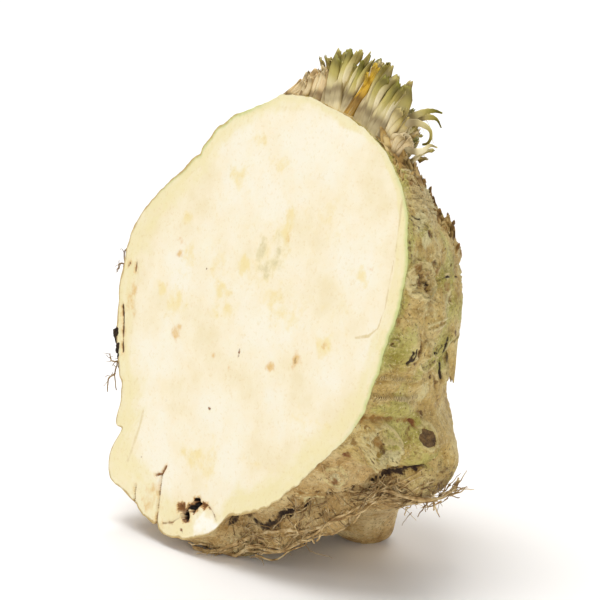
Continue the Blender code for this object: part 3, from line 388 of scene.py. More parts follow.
def to_world(points):
    """Plant frame in millimetres to the part's frame in metres: the face leans back about its x axis."""
    x, y, z = points[..., 0], points[..., 1], points[..., 2]
    back = y * math.cos(LEAN) + z * math.sin(LEAN)
    up = z * math.cos(LEAN) - y * math.sin(LEAN)
    return ORIGIN + np.stack([x, back, up], -1) * MM


def unit(v):
    """Vectors scaled to length one."""
    v = np.asarray(v, float)
    return v / np.maximum(np.linalg.norm(v, axis=-1, keepdims=True), 1e-9)


def step(low, high, x):
    """Smooth rise from 0 at low to 1 at high."""
    t = np.clip((x - low) / (high - low), 0, 1)
    return t * t * (3 - 2 * t)


def bell(x, width, power=2):
    """Smooth hump: 1 where x is 0 and 0.37 where it is width, flatter on top for a higher power."""
    return np.exp(-((x / width) ** power))


def mark(masks, name, value):
    """Raises the named mask to value where it is lower."""
    masks[name] = np.maximum(masks[name], value)


def periodic(angle, points):
    """Smooth closed curve through (angle, value) points, one cubic to each stretch."""
    a = np.array([p[0] for p in points], float)
    v = np.array([p[1] for p in points], float)
    a = np.concatenate([a[-2:] - 360, a, a[:3] + 360])
    v = np.concatenate([v[-2:], v, v[:3]])
    slope = np.gradient(v, a)
    slope[1:-1] = (v[2:] - v[:-2]) / (a[2:] - a[:-2])
    t = np.mod(angle, 360.0)
    i = np.clip(np.searchsorted(a, t, side="right") - 1, 1, len(a) - 3)
    h = a[i + 1] - a[i]
    s = (t - a[i]) / h
    start = (2 * s**3 - 3 * s**2 + 1) * v[i] + (s**3 - 2 * s**2 + s) * h * slope[i]
    end = (3 * s**2 - 2 * s**3) * v[i + 1] + (s**3 - s**2) * h * slope[i + 1]
    return start + end


def direction(theta, phi):
    """Unit vector from the middle of the cut face towards (theta, phi)."""
    t, p = np.radians(theta), np.radians(phi)
    return np.stack([np.cos(p) * np.cos(t), np.sin(p) + 0 * t, np.cos(p) * np.sin(t)], -1)


def turned(theta, middle):
    """Angle from middle to theta, between -180 and 180 degrees."""
    return np.mod(theta - middle + 180, 360) - 180


def arc_to(d, theta, phi):
    """Distance along the skin from directions d to one place."""
    return MEAN_RADIUS * np.arccos(np.clip(d @ direction(theta, phi), -1, 1))


def gap_to_line(points, ends):
    """Distance from points to a line through the given ends."""
    nearest = np.full(points.shape[:-1], 1e9)
    for a, b in zip(ends[:-1], ends[1:]):
        along = np.clip(((points - a) @ (b - a)) / ((b - a) @ (b - a)), 0, 1)
        nearest = np.minimum(nearest, np.linalg.norm(points - (a + along[..., None] * (b - a)), axis=-1))
    return nearest


def arc_to_line(d, line):
    """Distance along the skin from directions d to a line of (theta, phi) points."""
    return gap_to_line(d, [direction(*p) for p in line]) * MEAN_RADIUS


def oval(theta, phi, middle_theta, middle_phi, reach_theta, reach_phi):
    """Distance from a place on the skin, as a share of its reach along theta and along phi."""
    over = turned(theta, middle_theta) * DEGREE * np.cos(np.radians(phi)) / reach_theta
    return np.hypot(over, (phi - middle_phi) * DEGREE / reach_phi)


def face_line(flat, line):
    """Distance from points on the cut face to a line of (x, z) points."""
    return gap_to_line(flat, [np.array([x, 0.0, z]) for x, z in line])


def face_oval(flat, x, z, reach_x, reach_z):
    """Distance from a place on the cut face, as a share of its reach along x and along z."""
    return np.hypot((flat[..., 0] - x) / reach_x, (flat[..., 2] - z) / reach_z)


def waves(d):
    """Uneven skin: sine waves that run in many random directions, added up."""
    draw = np.random.default_rng(SEED)
    total = 0
    for length, height, count in WAVES:
        ways = draw.normal(size=(count, 3))
        ways /= np.linalg.norm(ways, axis=1, keepdims=True)
        turns = d @ ways.T * MEAN_RADIUS * 2 * math.pi / length
        total = total + height * math.sqrt(2 / count) * np.sin(turns + draw.uniform(0, 7, count)).sum(-1)
    return total


def skin_radius(theta, phi):
    """Distance from the middle of the cut face to the skin, as in the solids.

    Each section through the middle is a superellipse from the rim of the cut to the depth at the far
    back. Swellings, lobes and stubs are bells on it, a stub less the bell of its scar. Creases are bells
    across a line, taken off. All fade to nothing at the rim.
    """
    d = direction(theta, phi)
    p = np.radians(phi)
    rim = periodic(theta, RIM)
    fade = np.clip(phi / 10.0, 0, 1)
    side = rim + (MEAN_RADIUS - rim) * 0.5 * np.sin(p) ** 2
    section = (np.cos(p) / side) ** SECTION_POWER + (np.sin(p) / DEPTH) ** SECTION_POWER
    r = section ** (-1 / SECTION_POWER)
    for th, ph, height, reach in SWELLS:
        r = r + height * bell(arc_to(d, th, ph), reach) * fade
    for th, ph, height, reach_theta, reach_phi in LOBES:
        over = turned(theta, th) * DEGREE * math.cos(math.radians(ph)) / reach_theta
        up = (phi - ph) * DEGREE / reach_phi
        r = r + height * bell(over**2 + up**2, 1, 1.4) * np.clip(phi / 4.0, 0, 1)
    for th, ph, height, radius in KNOBS:
        away = arc_to(d, th, ph) / radius
        scar = SCAR_DEPTH_SHARE * bell(away, SCAR_SHARE, 4)
        r = r + height * (bell(away, 1, 4) - scar) * np.clip(phi / 3.0, 0, 1)
    for depth, half_width, line in CREASES:
        r = r - depth * bell(arc_to_line(d, line), half_width) * np.clip(phi / 2.0, 0, 1)
    return r + waves(d) * fade


def lattice(cell, seed):
    """Random number from -1 to 1 for each whole-numbered cell, always the same for the same cell."""
    x, y, z = (cell[..., i].astype(np.int64) & 0xFFFF for i in range(3))
    n = (x * 374761393 + y * 668265263 + z * 2147483647 + seed * 1274126177) & 0xFFFFFFFF
    n = ((n ^ (n >> 13)) * 1274126177) & 0xFFFFFFFF
    n = ((n ^ (n >> 16)) * 2246822519) & 0xFFFFFFFF
    return ((n ^ (n >> 15)) & 0xFFFF) / 32767.5 - 1


def cloud(points, size, octaves=1, seed=0):
    """Soft noise: random values on a lattice of the given size, blended smoothly, and finer copies."""
    total, height = 0, 1.0
    for octave in range(octaves):
        p = points / size + 31.7 * seed
        low = np.floor(p)
        f = p - low
        f = f**3 * (f * (f * 6 - 15) + 10)
        value = 0
        for corner in range(8):
            pick = np.array([corner & 1, corner >> 1 & 1, corner >> 2 & 1])
            weight = np.prod(np.where(pick == 1, f, 1 - f), axis=-1)
            value = value + weight * lattice(low + pick, seed + octave)
        total = total + height * value
        size, height = size / 2.07, height * 0.5
    return total


def cloud_path(path, size, first_seed):
    """Soft noise as a vector: one cloud for each axis."""
    return np.stack([cloud(path, size, 2, first_seed + k) for k in range(3)], -1)


def rim_change(theta, phi):
    """Unevenness of the outline of the cut, with its notches, fading out behind the rim."""
    ring = direction(theta, 0 * theta) * MEAN_RADIUS
    change = 0.45 * cloud(ring, 5.0, 3, 3) * np.exp(-phi / 3.0)
    for middle, half_width, depth in NOTCHES:
        change = change - depth * bell(turned(theta, middle), half_width) * bell(phi, 8.0)
    return change


def theta_columns(count=1000):
    """Values of theta round the rim: most at the right side and the foot of the face, few elsewhere."""
    fine = np.linspace(0, 360, 7201)
    weight = 1 + 1.5 * ((fine > 275) | (fine < 60)) + 1.3 * ((fine > 195) & (fine <= 275))
    place = np.concatenate([[0], np.cumsum(weight[:-1])])
    return np.interp(np.linspace(0, place[-1], count, endpoint=False), place, fine)


def skin_texture(d, phi):
    """Relief and masks that cover the whole skin, then the soft noise that bends them and their patches.

    lat is the distance from the crown over the skin, and lon the distance round it. The relief adds, in
    millimetres: lumps from soft noise; wrinkles that circle the crown, a sine of lat; ridges that run to
    the crown on the shoulder; rows of ticks left by leaf bases, a cosine of lon; narrow folds where
    noise crosses 0; and grooves that run down the root end.
    """
    p = d * MEAN_RADIUS
    axis, back = direction(CROWN_THETA, 0.0), np.array([0.0, 1.0, 0.0])
    lat = arc_to(d, CROWN_THETA, 0.0)
    turn = np.arctan2(d @ back, d @ unit(np.cross(axis, back)))
    lon = turn * MEAN_RADIUS * np.sin(lat / MEAN_RADIUS)
    drift = cloud(p, 16.0, 2, 1)
    patch = step(-0.1, 0.45, cloud(p, 12.0, 2, 2))
    masks = {name: np.zeros_like(lat) for name in ("ring", "dirt_and_shade", "pale", "red", "row")}
    masks["root_end"] = root_end = step(106, 120, lat + 5 * drift)
    masks["shoulder"] = shoulder = step(43, 31, lat + 3 * drift) * step(1.0, 5.0, phi)
    up = 0.55 * cloud(p, 6.0, 3, 5) + 0.20 * cloud(p, 1.9, 2, 6)
    up = up + 0.20 * patch * np.sin(2 * math.pi * (lat + 2.5 * drift) / 1.6) * (1 - root_end)
    ridge = np.abs(cloud(np.stack([lat * 0.16, lon, 0 * lon], -1), 1.9, 2, 7))
    valley = shoulder * step(0.22, 0.04, ridge)
    up = up + 0.9 * shoulder * (ridge - 0.3) - 0.3 * valley
    row = np.mod(lat + 4.0 * drift, 9.0) - 4.5
    rows = bell(row, 0.8) * step(-0.1, 0.35, cloud(p, 9.0, 1, 8)) * (1 - root_end)
    tick = 0.5 + 0.5 * np.cos(2 * math.pi * (lon + 0.6 * cloud(p, 2.0, 1, 9)) / 1.5)
    masks["tick"] = rows * tick**2
    up = up + 0.35 * masks["tick"] - 0.20 * rows
    fold = step(0.88, 1.0, 1 - np.abs(cloud(p, 7.5, 2, 11)))
    groove = np.abs(cloud(np.stack([lat * 0.25, lon, 0 * lon], -1), 1.6, 2, 12))
    up = up - 0.35 * fold - 0.22 * groove * root_end
    # Folds are coloured darker, brown on the root end and rust elsewhere; the valleys between the
    # shoulder's ridges get rust brown as painted shade
    masks["scar"] = 0.45 * fold * root_end * step(-0.1, 0.4, cloud(p, 9.0, 2, 18))
    masks["rust_and_shade"] = np.maximum(0.55 * fold * (1 - root_end), 0.9 * valley)
    masks["green"] = step(-0.15, 0.6, cloud(p, 13.0, 2, 17) + 0.1 - 1.3 * root_end)
    return up, masks, drift, patch


def skin_marks(theta, phi, drift, up, masks):
    """Adds the marks that have a place to the relief and to the masks, and gives the relief back.

    Stubs of side roots get rings, a cosine of the distance from them. Pits are bells with a raised rim,
    at random places, thickest near the root. Spots and lines are bells from their tables, each with a
    small rim. Oval scars are rings in a raised border. Their outlines are roughened by fine noise.
    """
    d = direction(theta, phi)
    p = d * MEAN_RADIUS
    ragged = cloud(p, 1.4, 2, 13)
    for th, ph, height, radius in KNOBS:
        away = arc_to(d, th, ph) + 0.4 * ragged
        scar = bell(away / radius, SCAR_SHARE, 4)
        up = up + bell(away / radius, 1.15, 6) * 0.25 * np.cos(2 * math.pi * away / 1.5)
        up = up + 0.65 * height * SCAR_DEPTH_SHARE * scar
        mark(masks, "scar", 0.45 * scar)
        mark(masks, "ring", 0.8 * bell(away - 0.8 * radius, 0.9))
    draw = np.random.default_rng(SEED + 2)
    pit_theta = draw.uniform(0, 360, PIT_COUNT)
    pit_phi = np.degrees(np.arcsin(draw.uniform(0.02, 0.98, PIT_COUNT)))
    pit_lat = arc_to(direction(pit_theta, pit_phi), CROWN_THETA, 0.0)
    keep = draw.uniform(0, 1, PIT_COUNT) < 0.25 + 0.75 * step(60, 130, pit_lat)
    sizes = draw.uniform(0.4, 1.3, PIT_COUNT)
    for th, ph, size in zip(pit_theta[keep], pit_phi[keep], sizes[keep]):
        away = arc_to(d, th, ph) / size + 0.25 * ragged
        up = up - 0.60 * size * bell(away, 1) + 0.30 * size * bell(away - 1.5, 0.5)
        mark(masks, "scar", 0.9 * bell(away, 1.1))
    for th, ph, radius, height, name in SPOTS:
        away = arc_to(d, th, ph) / radius + 0.35 * ragged
        up = up + height * bell(away, 1, 4) + 0.25 * abs(height) * bell(away - 1.35, 0.3)
        mark(masks, name, bell(away, 1.05, 4))
    for depth, half_width, name, strength, line in LINES:
        gap = arc_to_line(d, line)
        near = bell(gap + 0.25 * ragged, half_width)
        up = up - depth * near + 0.4 * abs(depth) * bell(gap / half_width, 2.4)
        mark(masks, name, strength * near)
    patchy = 0.25 + 0.75 * step(-0.35, 0.35, cloud(p, 2.4, 2, 33))
    for line in TICK_ROWS:
        gap = arc_to_line(d, line)
        near = bell(gap, 0.85, 4)
        up = up + 0.30 * near - 0.35 * bell(gap - 1.2, 0.4)
        mark(masks, "row", near * patchy * np.clip(phi / 1.5, 0, 1))
    masks["row_place"] = (phi * DEGREE + 0.35 * cloud(p, 2.0, 2, 34)) / ROW_UNIT
    bent = 0.5 * drift + 0.35 * cloud(p, 3.5, 1, 19)
    broken = step(-0.3, 0.3, cloud(p, 4.0, 2, 20))
    for th, ph, reach_theta, reach_phi, turns, height in OVALS:
        away = oval(theta, phi, th, ph, reach_theta, reach_phi) + 0.10 * ragged
        inside = step(1.12, 0.95, away)
        rings = np.cos(2 * math.pi * (away * 1.6 * turns + bent))
        rim = bell(away - 1, 0.11)
        up = up + height * (0.35 * inside * rings + 1.5 * rim - 0.4 * inside * step(0.9, 0.1, away))
        up = up - 0.5 * height * bell(away - 1.3, 0.14)
        mark(masks, "ring", np.maximum(0.5 * inside * step(0.3, 0.9, rings), 1.2 * rim))
        mark(masks, "rust_and_shade", 0.5 * inside * step(1.0, 0.4, away))
        mark(masks, "scar", 0.9 * inside * broken * step(0.45, 0.95, -rings))
    away = oval(theta, phi, *ROUND_SPOT) + 0.08 * ragged
    masks["cork"] = disc = step(1.08, 0.94, away)
    up = up - 0.55 * disc + disc * 0.30 * np.abs(cloud(p, 0.9, 2, 16)) + 0.35 * bell(away - 1.2, 0.16)
    # The two deepest creases get painted shadow: near black down the middle and brown beside it
    for _, half_width, line in CREASES[:2]:
        gap = arc_to_line(d, line) + 0.8 * cloud(p, 3.0, 2, 15)
        mark(masks, "dirt_and_shade", 0.9 * bell(gap / half_width, 0.26))
        mark(masks, "rust_and_shade", 0.7 * bell(gap / half_width, 0.8))
    for th, ph, reach_theta, reach_phi, name in PATCHES:
        away = oval(theta, phi, th, ph, reach_theta, reach_phi) + 0.4 * ragged
        spread = 0.9 * bell(np.maximum(away, 0), 1, 3)
        mark(masks, name, spread if name == "green" else 0.8 * spread)
    return up


def skin_surface(theta, phi):
    """Distance to the finished skin, the solids' form with texture and marks, and masks for its colours."""
    up, masks, drift, patch = skin_texture(direction(theta, phi), phi)
    up = skin_marks(theta, phi, drift, up, masks)
    masks["green"] = masks["green"] * (1 - masks["shoulder"])
    masks["edge"] = bell(phi * DEGREE, 1.1) * bell(turned(theta, 14.0), 28.0, 4) * (0.8 + 0.5 * patch)
    # Masks for painted shade where the relief lies low and painted highlight where it stands high
    masks["low"], masks["high"] = step(-0.10, -0.80, up), step(0.20, 0.95, up)
    return skin_radius(theta, phi) + up * np.clip(phi / 1.6, 0, 1) + rim_change(theta, phi), masks


def face_masks(flat, theta, rim, inward):
    """Masks for the colours of the flesh near the rim, then the soft noises that roughen the rest.

    rim is the outline's distance from the middle, and inward the distance from the outline. The rind is
    a zone whose edge is sharp at the right and soft elsewhere, in layers along the rim; a brown and a
    green line follow the rim itself.
    """
    wander, ragged = cloud(flat, 7.0, 3, 21), cloud(flat, 2.2, 3, 24)
    width = periodic(theta, RIND_WIDTH) * settings().rind_width / RIND_DEFAULT
    names = ("stain", "grey", "amber", "brown", "dark", "white", "line")
    masks = {name: np.zeros_like(inward) for name in names}
    sharp = 0.55 - 0.43 * bell(turned(theta, 26.0), 34.0, 4)
    rind = step(width * (1 + sharp), width * (1 - sharp), inward + 3.2 * sharp * wander)
    layers = cloud(np.stack([1.6 * inward, 0 * inward, 0.25 * np.radians(theta) * rim], -1), 3.0, 3, 25)
    masks["rind"] = rind * (0.82 + 0.30 * layers)
    left_side = 1 - bell(turned(theta, 28.0), 85.0, 6)
    masks["outer"] = bell(inward, 0.8 + 0.5 * np.abs(wander)) * (0.25 + 0.75 * left_side)
    masks["green"] = bell(inward, 1.5) * bell(turned(theta, 8.0), 42.0, 4)
    masks["green"] = masks["green"] + 1.1 * bell(inward, 1.3) * bell(turned(theta, 128.0), 30.0, 4)
    return masks, wander, ragged


def face_depth(flat, masks, wander, ragged):
    """How deep the cut face lies behind its plane, and the masks of its stains, cracks, holes and lines.

    Knife marks are a fine sine of x. Cracks are bells across a line and holes have steep walls, both
    painted dark inside as shade, deeper holes darker, and browned round their edge. Stains and faint
    lines are colour alone.
    """
    for x, z, reach_x, reach_z, strength, name in STAINS:
        away = face_oval(flat, x, z, reach_x, reach_z) + 0.45 * ragged
        mark(masks, name, strength * bell(np.maximum(away, 0), 1, 2.2))
    depth = 0.05 * cloud(flat, 3.0, 3, 22) + 0.02 * np.sin(flat[..., 0] * 4.2 + 0.8 * wander)
    shaky = 0.14 * cloud(flat, 1.0, 2, 23)
    for deep, half_width, dark, brown, line in FACE_LINES:
        gap = face_line(flat, line) + shaky
        depth = depth + deep * bell(gap, half_width)
        # Painted shade inside the crack
        mark(masks, "dark", dark * bell(gap, half_width))
        mark(masks, "brown", brown * bell(gap / half_width, 1.5))
        mark(masks, "amber", 0.8 * brown * bell(gap / half_width, 4.0))
    crumb = cloud(flat, 0.8, 2, 26)
    for x, z, reach_x, reach_z, deep in HOLLOWS:
        away = face_oval(flat, x, z, reach_x, reach_z) + 0.30 * ragged + 0.32 * crumb
        depth = np.maximum(depth, deep * step(1.1, 0.6, away))
        # Painted shade inside the hole, darker the deeper it is
        mark(masks, "dark", step(1.15, 0.95, away) * min(1.0, deep / 3.0))
        mark(masks, "brown", 0.8 * step(1.40, 1.05, away + 0.2 * wander))
        mark(masks, "amber", step(2.0, 1.2, away))
    for half_width, strength, line in FAINT_LINES:
        mark(masks, "line", strength * bell(face_line(flat, line) + 0.35 * wander, half_width))
    return depth


def quads(rows, columns):
    """Corner numbers of the faces of a stack of closed rings of points."""
    i, j = np.meshgrid(np.arange(rows - 1), np.arange(columns), indexing="ij")
    k = (j + 1) % columns
    low, high = i * columns, (i + 1) * columns
    return np.stack([low + j, low + k, high + k, high + j], -1).reshape(-1, 4)


def strip(ring, other):
    """Corner numbers of the faces between two closed rings of points."""
    return np.stack([ring, np.roll(ring, -1), np.roll(other, -1), other], -1)


def fan(ring, tip):
    """Corner numbers of triangles from a closed ring of points to one point."""
    return np.stack([ring, np.roll(ring, -1), np.full_like(ring, tip)], -1)


def volume(points, faces):
    """Signed volume inside closed faces, by the sum of corner products."""
    total = 0.0
    for f in faces:
        for i in range(1, f.shape[1] - 1):
            a, b, c = points[f[:, 0]], points[f[:, i]], points[f[:, i + 1]]
            total += np.einsum("ij,ij->i", a, np.cross(b, c)).sum()
    return total


def make_piece(name, points, faces, material, masks, uv=None, replaces=()):
    """Adds one closed piece: points in the part's frame, faces by corner numbers, masks by point."""
    points = points.reshape(-1, 3)
    if volume(points - points.mean(0), faces) < 0:
        faces = [f[:, ::-1] for f in faces]
    mesh = bpy.data.meshes.new(name)
    corners = np.concatenate([f.reshape(-1) for f in faces])
    sizes = np.concatenate([np.full(len(f), f.shape[1]) for f in faces])
    mesh.vertices.add(len(points))
    mesh.vertices.foreach_set("co", points.astype(np.float32).reshape(-1))
    mesh.loops.add(len(corners))
    mesh.loops.foreach_set("vertex_index", corners.astype(np.int32))
    mesh.polygons.add(len(sizes))
    mesh.polygons.foreach_set("loop_start", (np.cumsum(sizes) - sizes).astype(np.int32))
    mesh.polygons.foreach_set("use_smooth", np.ones(len(sizes), bool))
    for mask, values in masks.items():
        layer = mesh.attributes.new(mask, "FLOAT", "POINT")
        layer.data.foreach_set("value", np.clip(values, 0, 1).astype(np.float32).reshape(-1))
    if uv is not None:
        layer = mesh.uv_layers.new(name="along")
        layer.data.foreach_set("uv", uv.reshape(-1, 2)[corners].astype(np.float32).reshape(-1))
    mesh.update(calc_edges=True)
    mesh.validate()
    mesh.materials.append(material)
    piece = bpy.data.objects.new(name, mesh)
    bpy.context.scene.collection.objects.link(piece)
    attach(piece, "root")
    if replaces:
        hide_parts(*replaces)


class Bundle:
    """Several closed lofts gathered into one piece."""

    def __init__(self):
        self.points, self.faces, self.masks, self.uv, self.count = [], {3: [], 4: []}, {}, [], 0

    def loft(self, rings, masks, uv=None):
        """Skin over a stack of closed rings (rows, columns, 3), with a point in the middle of each end."""
        rows, columns = rings.shape[:2]
        ends = np.stack([rings[0].mean(0), rings[-1].mean(0)])
        n = rows * columns
        self.points.append(np.concatenate([rings.reshape(-1, 3), ends]))
        first, last = np.arange(columns), np.arange(n - columns, n)
        self.faces[4].append(quads(rows, columns) + self.count)
        self.faces[3].append(np.concatenate([fan(first, n)[:, ::-1], fan(last, n + 1)]) + self.count)
        for name, values in masks.items():
            values = np.broadcast_to(values, (rows, columns))
            both = np.array([values[0].mean(), values[-1].mean()])
            self.masks.setdefault(name, []).append(np.concatenate([values.reshape(-1), both]))
        if uv is not None:
            self.uv.append(np.concatenate([uv.reshape(-1, 2), uv[0].mean(0)[None], uv[-1].mean(0)[None]]))
        self.count += n + 2

    def piece(self, name, material, slot, replaces=()):
        """The gathered lofts as one object."""
        masks = {k: np.concatenate(v) for k, v in self.masks.items()}
        uv = np.concatenate(self.uv) if self.uv else None
        faces = [np.concatenate(self.faces[4]), np.concatenate(self.faces[3])]
        make_piece(name, to_world(np.concatenate(self.points)), faces, material, masks, uv, replaces)


def sheath(foot, tip, outward, width, thick, draw, cup=0.6, bend=0.8, slant=0.0, taper=0.3, rag=0.12,
           curl=0.0, wave=0.3, ribs=3, rows=20, columns=20):
    """Rings of one leaf base: a ribbed gutter that wavers, curls at its end and is torn there.

    Each ring is a flat loop, out along the ribbed back and home along the hollow side. Across it u runs
    from -1 to 1 and the loop lies on an arc of cup radians; its thickness is that of a lens. Along it v
    runs from 0 to 1: the width tapers and rounds off at the tip, the whole bends outwards by bend times
    v squared and curls by curl times v to the fifth, and random tears in u shorten it. Last, each ring
    moves back until it lies behind the plane of the cut face.
    """
    foot, tip = np.array(foot, float), np.array(tip, float)
    length = np.linalg.norm(tip - foot)
    along = (tip - foot) / length
    outward = unit(outward - (outward @ along) * along)
    side = np.cross(along, outward)
    half_loop = columns // 2
    u = np.concatenate([np.linspace(-1, 1, half_loop), np.linspace(1, -1, half_loop)])[None, :]
    back = np.concatenate([np.ones(half_loop), -np.ones(half_loop)])[None, :]
    v = np.linspace(0, 1, rows)[:, None] ** 0.85
    phase = draw.uniform(0, 6)
    wall = thick / 2 * np.sqrt(np.clip(1 - np.abs(u) ** 2.6, 0.02, 1)) * (1 - 0.5 * v)
    grooves = 0.30 * wall * np.cos(ribs * math.pi * u + phase + 1.2 * np.sin(3 * v + phase)) * (back > 0)
    rounded = np.sqrt(1 - 0.45 * np.clip((v - 0.86) / 0.14, 0, 1) ** 2)
    half = width / 2 * (1 - taper * v) * (1 + 0.12 * np.sin(6 * v + phase)) * rounded
    tears = rag * np.abs(np.sin(2.3 * u + phase) + 0.6 * np.sin(6.1 * u + 2 * phase) + 0.3 * np.sin(13 * u))
    blunt = (0.35 * abs(curl) + 0.42 * width * np.abs(u) ** 2.4) / length
    reach = v * (1 + slant * u) - tears * v**6 - blunt * v**5
    angle = u * cup
    sway = np.sin(5 * v + phase) * v + 1.5 * math.cos(2 * phase) * np.sin(math.pi * v)
    sideways = half * np.sin(angle) / math.sin(cup) + wave * sway
    outwards = half * (np.cos(angle) - 1) / math.sin(cup) + bend * v**2 + curl * v**5
    outwards = outwards + back * wall + grooves + wave * np.sin(7 * v + 2 * phase) * v
    rings = (foot + along * (length * reach)[..., None] + side * sideways[..., None]
             + outward * outwards[..., None])
    lack = FACE_GAP - rings[..., 1].min(axis=1, keepdims=True)
    rings[..., 1] += FACE_SOFT * np.logaddexp(0, lack / FACE_SOFT)
    uv = np.stack([u * width / 2 + 0 * v, v * length + 0 * u], -1)
    return rings, v + 0 * u, uv


def smooth_path(points, count):
    """Points at equal steps of a Catmull-Rom curve through the given points."""
    given = np.array(points, float)
    given = np.concatenate([[2 * given[0] - given[1]], given, [2 * given[-1] - given[-2]]])
    place = np.linspace(0, len(given) - 3, count)
    i = np.minimum(place.astype(int), len(given) - 4)
    t = (place - i)[:, None]
    a, b, c, d = (given[i + k] for k in range(4))
    return (2 * b + (c - a) * t + (2 * a - 5 * b + 4 * c - d) * t**2 + (3 * b - 3 * c + d - a) * t**3) / 2


def tube(path, radius, sides=6, flat=1.0, normal=(0.31, 0.87, 0.38)):
    """Rings of a tube along a path: circles, or ellipses flat times as thick as wide, across the path."""
    ahead = unit(np.gradient(path, axis=0))
    side = unit(np.cross(ahead, normal))
    up = np.cross(side, ahead)
    a = np.linspace(0, 2 * math.pi, sides, endpoint=False)
    radius = np.broadcast_to(radius, len(path))[:, None, None]
    return (path[:, None] + radius * (np.cos(a)[None, :, None] * side[:, None]
            + flat * np.sin(a)[None, :, None] * up[:, None]))


def skin_place(theta, phi, lift=0.0):
    """Points in the plant frame on the skin of the solids, or lift above it."""
    theta, phi = np.asarray(theta, float), np.asarray(phi, float)
    return direction(theta, phi) * (skin_radius(theta, phi) + lift)[..., None]


def lift_over(points, clearance):
    """Pushes points out until they clear the skin, and up until they clear the floor."""
    length = np.linalg.norm(points, axis=-1)
    theta = np.degrees(np.arctan2(points[..., 2], points[..., 0]))
    phi = np.degrees(np.arcsin(np.clip(points[..., 1] / length, -1, 1)))
    missing = np.maximum(skin_radius(theta, np.maximum(phi, 0)) + clearance - length, 0)
    points = points + unit(points) * missing[..., None]
    height = to_world(points)[..., 2] / MM
    lack = np.maximum(clearance + 0.3 - height, 0)
    return points + np.array([0, -math.sin(LEAN), math.cos(LEAN)]) * lack[..., None]


def linear(code):
    """sRGB hex colour to linear red, green, blue and full alpha."""
    channels = [int(code[i : i + 2], 16) / 255 for i in (1, 3, 5)]
    return tuple(c / 12.92 if c <= 0.04045 else ((c + 0.055) / 1.055) ** 2.4 for c in channels) + (1.0,)


def plug(tree, node, inputs):
    """Sets a node's sockets: another node's output is linked, a hex code is turned to a colour."""
    for key, value in inputs.items():
        if isinstance(value, bpy.types.NodeSocket):
            tree.links.new(value, node.inputs[key])
        else:
            node.inputs[key].default_value = linear(value) if isinstance(value, str) else value


def add_node(tree, kind, inputs, stops=(), **fields):
    """Adds a shader node, sets its fields and sockets, and its colour stops if it has them."""
    made = tree.nodes.new("ShaderNode" + kind)
    for key, value in fields.items():
        setattr(made, key, value)
    plug(tree, made, inputs)
    for _ in stops[2:]:
        made.color_ramp.elements.new(0.5)
    for i, (place, colour) in enumerate(stops):
        made.color_ramp.elements[i].position = place
        made.color_ramp.elements[i].color = linear(colour) if isinstance(colour, str) else colour
    return made


def new_material(name):
    """Empty material with its node tree, its Principled shader and its object coordinates."""
    material = bpy.data.materials.new(name)
    material.use_nodes = True
    tree = material.node_tree
    shader = tree.nodes["Principled BSDF"]
    place = add_node(tree, "TexCoord", {}).outputs["Object"]
    return material, tree, shader, place


def settings():
    """The add-on's values in the scene."""
    return bpy.context.scene.celeriac


def lay(tree, base, value, low, high, colour, **fields):
    """Lays a colour over base as value passes from low to high."""
    cover = add_node(tree, "MapRange", {"Value": value, "From Min": low, "From Max": high}, **fields)
    mixed = add_node(tree, "MixRGB", {"Fac": cover.outputs["Result"], "Color1": base, "Color2": colour})
    return mixed.outputs[0]


def blend(tree, base, layers, noise):
    """Lays colours over base in turn, each where its mask, roughened by noise, passes from low to high."""
    for name, colour, spread, low, high in layers:
        mask = add_node(tree, "Attribute", {}, attribute_name=name).outputs["Fac"]
        away = add_node(tree, "Math", {0: noise, 1: -0.5}, operation="ADD").outputs[0]
        rough = add_node(tree, "Math", {0: away, 1: spread, 2: mask}, operation="MULTIPLY_ADD").outputs[0]
        base = lay(tree, base, rough, low, high, colour, interpolation_type="SMOOTHSTEP")
    return base


